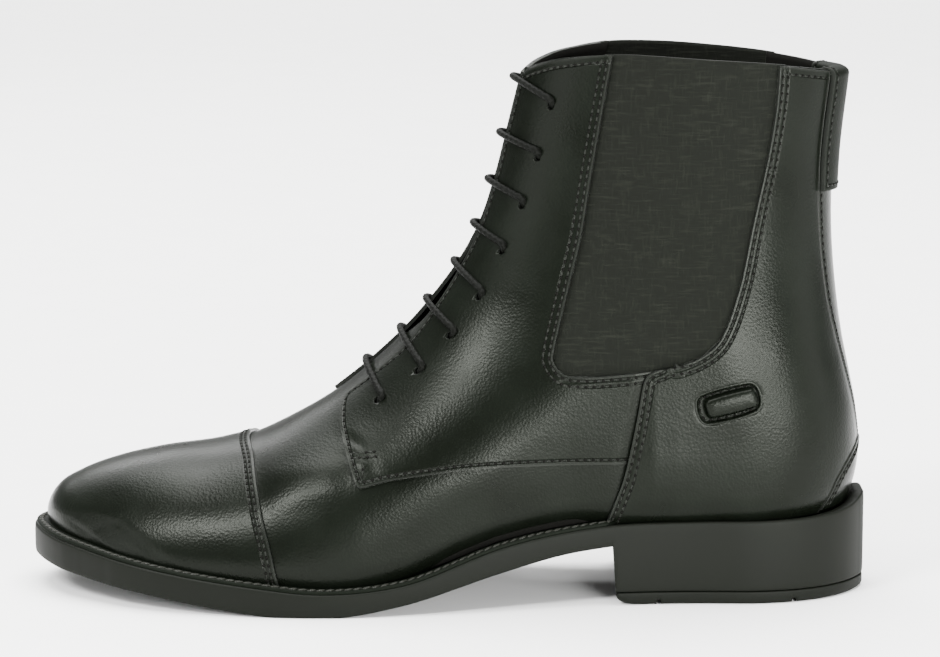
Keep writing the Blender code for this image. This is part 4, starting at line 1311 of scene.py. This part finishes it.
TOE_X, HEEL_X = RIDGE["x"][0], BACK["x"][0]
# Inset from the rim, share across, drop from the top, or rise from the bottom.
SOLE_PROFILE = (
    (4.9, 0.2, 2.0, None), (4.9, 0.0, 2.0, None), (4.3, 0.0, 1.4, None), (3.9, 0.0, 0.25, None),
    (3.5, 0.0, 0.0, None), (2.2, 0.0, 0.0, None), (0.9, 0.0, 0.0, None), (0.35, 0.0, 0.12, None),
    (0.08, 0.0, 0.4, None), (0.0, 0.0, 0.9, None), (-0.1, 0.0, 2.6, None), (-0.1, 0.0, None, 2.6),
    (0.0, 0.0, None, 0.9), (0.08, 0.0, None, 0.4), (0.35, 0.0, None, 0.12), (0.9, 0.0, None, 0.0),
    (0.9, 0.12, None, 0.0), (0.9, 0.32, None, 0.0),
)

# %% Outsole
HEEL_TIP, SEAM, BREAST_CLEAR = 4.4, 0.15, 0.4


def outsole_grid():
    xs = stations(TOE_X, HEEL_X, 220)
    xs = xs[(xs < BREAST_X - BREAST_LEAN - BREAST_CLEAR) | (xs > BREAST_X + BREAST_CLEAR)]
    xs = np.sort(np.append(xs, (BREAST_X - BREAST_LEAN, BREAST_X)))
    tread = np.maximum(curve(TREAD["x"], TREAD["z"], xs), 0.0)
    low = np.where(xs < BREAST_X, tread, HEEL_TIP + SEAM)
    return sole_layer(xs, SOLE_PROFILE, low, seat)


outsole = finish_piece("outsole_rubber", lay_grid(outsole_grid(), weld=True), RUBBER,
                       stands_for=("outsole",))
print("outsole:", len(outsole.data.polygons), "faces")

# %% Heel tip
TIP_CORNER = table("in z", (
    (0.0, 3.2), (0.4, 2.3), (1.2, 1.5), (2.6, 0.8), (5.5, 0.15), (9.0, 0.0),
))
TIP_NOTCHES, NOTCH_HALF, NOTCH_DEEP = (72.0, 117.0), 0.7, 1.1
NOTCH_EDGES = np.array((-NOTCH_HALF - 0.05, -NOTCH_HALF, NOTCH_HALF, NOTCH_HALF + 0.05))
# The tip starts this far behind the heel's front face, and these sections ahead of it are left out.
TIP_BEHIND, LEAD = 0.2, 59
TIP_PROFILE = (
    (0.7, 0.4, 0.0, None), (0.7, 0.0, 0.0, None), (0.25, 0.0, 0.06, None), (0.08, 0.0, 0.25, None),
    (0.05, 0.0, 0.6, None), (0.05, 0.0, None, 1.5), (0.4, 0.0, None, 0.7), (0.9, 0.0, None, 0.2),
    (1.8, 0.0, None, 0.0), (1.8, 0.4, None, 0.0),
)


def tip_stations():
    """Places along X, closer at the front corner and the notches, with the underside's height."""
    xs = stations(2 * BREAST_X - HEEL_X, HEEL_X, 160)
    corner = BREAST_X + TIP_BEHIND + TIP_CORNER["in"]
    notches = [n + d for n in TIP_NOTCHES for d in NOTCH_EDGES]
    xs = np.sort(np.concatenate([corner, xs[xs > corner[-1] + 1.0], notches]))
    low = np.interp(xs, corner, TIP_CORNER["z"])
    for notch in TIP_NOTCHES:
        low = np.where(np.abs(xs - notch) < NOTCH_HALF + 0.02, NOTCH_DEEP, low)
    return xs, low


def tip_layer():
    """Sections of the heel tip, from the outline of the whole sole."""
    xs, low = tip_stations()
    xs = np.concatenate([stations(TOE_X, BREAST_X, LEAD + 1)[:-1], xs])
    low = np.concatenate([np.zeros(LEAD), low])
    return sole_layer(xs, TIP_PROFILE, low, lambda x: HEEL_TIP + 0 * x)[LEAD:]


heel_tip = finish_piece("heel_tip_rubber", lay_closed(tip_layer()), RUBBER,
                        stands_for=("heel_tip",))
print("heel tip:", len(heel_tip.data.polygons), "faces")

# %% [markdown]
# The welt is a narrow strip that joins upper and sole round the forefoot. Thick waxed thread goes
# through it, and the row of stitches on top of the rim is one of the marks of a sewn boot.

# %% Welt
WELT_END, WELT_SPARE, WELT_IN, WELT_BACK, WELT_HIGH, WELT_SUNK = 54.0, 4.0, 0.2, 0.7, 1.3, 0.3
WELT_CORNERS = (
    (0.0, 0.0), (0.0, 0.75), (0.12, 0.95), (0.3, 1.0), (0.5, 0.86), (0.72, 1.0), (0.9, 0.95),
    (1.0, 0.75), (1.0, 0.0),
)


def welt_grid():
    """Sections of the strip, from one end of the waist round the toe to the other."""
    xs = stations(TOE_X, 2 * WELT_END - TOE_X, 320)
    xs = np.append(xs[xs < WELT_END], (WELT_END, WELT_END + WELT_SPARE))
    (lateral, out_l), (medial, out_m) = sole_outline(xs)
    keep = len(xs) - 1
    foot = np.concatenate([lateral[:keep][::-1], medial[1:keep]])
    outward = np.concatenate([out_l[:keep][::-1], out_m[1:keep]])
    wide = curve(RIM["x"], RIM["out"], foot[:, 0]) - WELT_BACK
    rows = []
    for across, up in WELT_CORNERS + WELT_CORNERS[:1]:
        flat = foot + outward * (WELT_IN + (wide - WELT_IN) * across)[:, None]
        rise = seat(foot[:, 0]) - WELT_SUNK + (WELT_HIGH + WELT_SUNK) * up
        rows.append(np.column_stack([flat, rise]))
    return np.stack(rows, 1), foot, outward, wide


welt_points, welt_foot, welt_out, welt_wide = welt_grid()
finish_piece("welt_strip", lay_closed(welt_points), SOFT_LEATHER, stands_for=("welt",))
print("welt", round(longest(welt_points)), "mm long")

# %% [markdown]
# The boot is laced in straight bars. One cord starts with the lowest bar, and its two halves climb
# inside, each taking every second bar, so nothing crosses in the open. The path is a list of places
# beside the ridge, each a length along it, an offset and a height above the upper, and a tube
# follows it.

# %% Path of the lace
LACE_RADIUS, LACE_SIDES, LACE_STEP = 1.15, 10, 0.8
LACE_OVER, LACE_UNDER, HOOK = PANEL_TOP + LACE_RADIUS, -3.4, 2.2
LACE_SUNK, LACE_ASIDE = -0.8, 3.0
BARS, HALFWAY = (1, 3, 5, 7, 6, 4, 2, 0), 3
# Where the two ends stop behind a top hole: lengths along the ridge and offsets from the hole.
LACE_ENDS = (((-3.0, -4.5), (-9.0, -4.0)), ((-3.0, 3.0), (-7.0, 4.0)))


def bar_places(i, first, second):
    """Out of one hole, over the ridge and into the hole on the other side."""
    k = np.linspace(1.0, -1.0, 17)
    s = HOLES["s"][i] + HOOK + (HOLES["rise"][i] - HOOK) * (1 - k * k)
    y = np.where(k > 0, k * HOLES[first][i], -k * HOLES[second][i])
    over = [(a, b, LACE_OVER) for a, b in zip(s, y)]
    out_of, into = ([(HOLES["s"][i], HOLES[side][i], h) for h in (LACE_UNDER, LACE_SUNK)]
                    for side in (first, second))
    return out_of + over + into[::-1]


def lace_places():
    """Places of the whole cord, from one hidden end to the other."""
    sides = ("lateral", "medial")
    places, end = ([(HOLES["s"][0] + s, HOLES["lateral"][0] + y, LACE_UNDER) for s, y in stops]
                   for stops in LACE_ENDS)
    for n, i in enumerate(BARS):
        first, second = sides if n % 2 == 0 else sides[::-1]
        places += bar_places(i, first, second)
        if n + 1 < len(BARS):
            j = BARS[n + 1]
            aside = SIGN[second] * (LACE_ASIDE if n < HALFWAY else -LACE_ASIDE)
            for t in (0.25, 0.5, 0.75):
                s = HOLES["s"][i] * (1 - t) + HOLES["s"][j] * t
                y = HOLES[second][i] * (1 - t) + HOLES[second][j] * t + aside
                places.append((s, y, LACE_UNDER))
    return places + end


# %% Lace


def tube(path, radius, sides):
    """Grid of rings round a path, turned as little as possible from one to the next."""
    ahead = unit(np.gradient(path, axis=0))
    side = np.cross(ahead[0], (0.0, 0.0, 1.0))
    turn = np.linspace(0.0, 2 * math.pi, sides + 1)[:, None]
    rings = []
    for point, way in zip(path, ahead):
        side = unit(side - way * (side @ way))
        up = np.cross(way, side)
        rings.append(point + radius * (np.cos(turn) * side + np.sin(turn) * up))
    return np.array(rings)


def smooth_path(points, step):
    """Evenly spaced points on a smooth line through some places."""
    run = lengths(points)
    s = np.arange(0.0, run[-1], step)
    return np.stack([curve(run, points[:, c], s) for c in range(3)], -1)


lace_path = smooth_path(above(*np.array(lace_places()).T)[0], LACE_STEP)
LACE_LENGTH = len(lace_path) * LACE_STEP
BRAID_LENGTH, BRAID_STRANDS = 2.6, 3
LACE_YARN = yarn("braided_black_lace", "#040503", "#0a0b09", 0.65, 0.05,
                 2 * math.pi * LACE_LENGTH / BRAID_LENGTH, 2 * math.pi * BRAID_STRANDS, "UV")
finish_piece("lace_cord", lay_closed(tube(lace_path, LACE_RADIUS, LACE_SIDES)), LACE_YARN,
             stands_for=("lace",))
print("lace", round(LACE_LENGTH), "mm long")

# %% [markdown]
# Stitches hold the pieces together, in rows along their edges. Each row is found by its distance
# from an edge of a sheet's grid. One bead, made once as a small sphere, is stretched into a stitch
# and copied along all the rows with array arithmetic, so that the whole sewing is one mesh.

# %% Helper: rows of stitches
ROW_CLEAR, ROW_AHEAD = 0.8, 0.4


def row_line(grid, runs, edge, inset):
    """Line on a grid at a distance from one of its edges, with the outward directions along it."""
    run, out = runs[edge], normals(grid)
    if edge in ("start", "end"):
        grid, out, run = grid.swapaxes(0, 1), out.swapaxes(0, 1), run.T
    if edge in ("far", "end"):
        grid, out, run = grid[:, ::-1], out[:, ::-1], run[:, ::-1]
    at = np.array([np.interp(inset, np.maximum.accumulate(r), np.arange(len(r))) for r in run])
    low = np.minimum(at.astype(int), run.shape[1] - 2)
    part = (at - low)[:, None]
    i = np.arange(len(at))
    return tuple(a[i, low] * (1 - part) + a[i, low + 1] * part for a in (grid, out))


def stitch_places(line, out, pitch, shift=0.0):
    """Middle, direction and outward direction of every stitch along a line."""
    run = lengths(line)
    s = np.arange(ROW_CLEAR + pitch / 2 + shift, run[-1] - ROW_CLEAR, pitch)

    def at(rows, where):
        return np.stack([np.interp(where, run, rows[:, c]) for c in range(3)], -1)
    along = at(line, s + ROW_AHEAD) - at(line, s - ROW_AHEAD)
    return at(line, s), unit(along), unit(at(out, s))


# %% Helper: sew


def sew(name, stitches, size, material):
    """One mesh of many stitches, each a stretched bead lying along its row."""
    bm = bmesh.new()
    bmesh.ops.create_uvsphere(bm, u_segments=6, v_segments=4, radius=0.5)
    bead = np.array([v.co[:] for v in bm.verts]) * size
    corners = [[v.index for v in f.verts] for f in bm.faces]
    bm.free()
    place, along, up = (np.concatenate(part) for part in zip(*stitches))
    aside = np.cross(up, along)
    points = place[:, None] + sum(bead[None, :, axis, None] * way[:, None]
                                  for axis, way in ((2, along), (0, aside), (1, up)))
    faces = [[c + n * len(bead) for c in face] for n in range(len(place)) for face in corners]
    mesh = bpy.data.meshes.new(name)
    mesh.from_pydata(metres(points.reshape(-1, 3)), [], faces)
    bm = bmesh.new()
    bm.from_mesh(mesh)
    bpy.data.meshes.remove(mesh)
    finish_piece(name, bm, material)
    return len(place)


# %% Stitching
# A stitch is thinner than it is long. A flat dark bead at each of its ends is painted shade, the dark
# of a needle hole.
PITCH, STITCH, HOLE_SHADE = 2.8, (0.85, 0.6, 1.75), (1.15, 0.6, 1.1)
# Bar tack at the front corner of each facing, from and to places in the side view.
TACKS = (
    ((-33.0, 52.4), (-22.3, 53.8)), ((-32.6, 51.0), (-22.0, 52.4)), ((-27.6, 51.0), (-28.4, 44.4)),
)


def side_line(first, last, side):
    """Straight line of the side view, laid on one side's leather, with its outward directions."""
    flat = np.linspace(first, last, 24)
    up, back = (on_side(flat + step, side) - on_side(flat - step, side)
                for step in ((0.0, SHORT), (SHORT, 0.0)))
    out = unit(SIGN[side] * np.cross(up, back))
    return on_side(flat, side) + PANEL_TOP * out, out


sewn = [row_line(grid, runs, *row) for grid, runs, rows in sewn_sheets for row in rows]
sewn += [side_line(*tack, side) for tack in TACKS for side in SIGN]
stitches = [stitch_places(*line, PITCH) for line in sewn]
# Dark beads that paint the shade in the needle holes.
holes = [stitch_places(*line, PITCH, PITCH / 2) for line in sewn]
print("stitches on the upper:", sew("upper_stitching", stitches, STITCH, THREAD_YARN))
print("needle holes:", sew("needle_hole_shade", holes, HOLE_SHADE, LINING))

# %% Welt stitching
# The thread in the welt is thick, and each stitch lies a little slanted, so the row looks braided.
WELT_PITCH, WELT_STITCH, WELT_SLANT = 3.1, (1.5, 1.1, 3.6), 0.4
WELT_ROW, WELT_SINK = 0.68, 0.1
welt_row = welt_foot + welt_out * (WELT_IN + (welt_wide - WELT_IN) * WELT_ROW)[:, None]
welt_line = np.column_stack([welt_row, seat(welt_foot[:, 0]) + WELT_HIGH - WELT_SINK])
straight_up = np.tile((0.0, 0.0, 1.0), (len(welt_line), 1))
place, along, up = stitch_places(welt_line, straight_up, WELT_PITCH)
along = (along + np.cross(up, along) * WELT_SLANT) / math.hypot(1.0, WELT_SLANT)
print("stitches in the welt:", sew("welt_stitching", [(place, along, up)], WELT_STITCH, WELT_YARN))

# %% [markdown]
# A photographer's table and lights: a wide pale floor, a soft box overhead and large soft lights on
# both sides. Black leather shows mostly what it reflects, so the size and place of the lights draw
# the shapes more than the leather's own colour does.

# %% Floor


def pale_floor():
    material, tree, shader, place = new_material("pale_paper_floor")
    fleck = noise(tree, place, 40.0, 2.0)
    fill(tree, shader, {"Base Color": blend(tree, fleck, "#f4f4f3", "#f9f9f8"), "Roughness": 0.9})
    return material


bm = bmesh.new()
bmesh.ops.create_grid(bm, x_segments=4, y_segments=4, size=8.0)
floor = new_object("floor", bm, bpy.context.scene.collection)
floor.data.materials.append(pale_floor())
print("floor:", floor.data.materials[0].name)

# %% Light and world
world = bpy.data.worlds.new("studio")
bpy.context.scene.world = world
world.use_nodes = True
world.node_tree.nodes["Background"].inputs["Color"].default_value = linear("#ffffff")
world.node_tree.nodes["Background"].inputs["Strength"].default_value = 0.5

LIGHTS = (
    # name, place, aim, roll in degrees, width, height, watts
    ("overhead_box", (0.0, 0.45, 2.2), (0.0, 0.15, 0.0), 0.0, 2.3, 2.2, 272.0),
    ("backdrop_box", (0.0, 3.2, 2.0), (0.0, 3.8, 0.0), 0.0, 4.0, 1.0, 220.0),
    ("back_box", (-0.75, 1.4, 1.15), (-0.06, 0.0, 0.06), 0.0, 1.2, 0.8, 9.5),
    ("front_left_strip", (-0.89, -0.97, 1.24), (-0.05, 0.0, 0.06), 40.0, 0.6, 0.32, 49.0),
    ("front_right_box", (0.62, -1.5, 0.42), (0.08, 0.0, 0.08), 0.0, 0.4, 0.5, 14.0),
    ("low_right_box", (0.28, -0.41, 0.086), (0.09, -0.03, 0.07), 0.0, 0.33, 0.06, 4.2),
    ("left_fill", (-1.5, -0.7, 0.4), (0.02, 0.0, 0.12), 0.0, 0.8, 0.7, 9.0),
    ("right_fill", (1.5, -0.4, 0.35), (0.12, 0.0, 0.08), 0.0, 0.8, 0.6, 8.0),
)
for name, place, aim, roll, wide, high, watts in LIGHTS:
    light = bpy.data.lights.new(name, "AREA")
    light.shape = "RECTANGLE"
    light.size, light.size_y = wide, high
    light.energy = watts
    lamp = bpy.data.objects.new(name, light)
    lamp.location = place
    turn = (Vector(aim) - Vector(place)).to_track_quat("-Z", "Y").to_matrix()
    lamp.rotation_euler = (turn @ Matrix.Rotation(math.radians(roll), 3, "Z")).to_euler()
    bpy.context.scene.collection.objects.link(lamp)
print("lights:", len(LIGHTS))

# %% [markdown]
# The insole keeps its solid's shape, because only a little of it shows down in the boot.

# %% Insole and close
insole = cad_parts["insole"]
insole.data.materials.clear()
insole.data.materials.append(LINING)
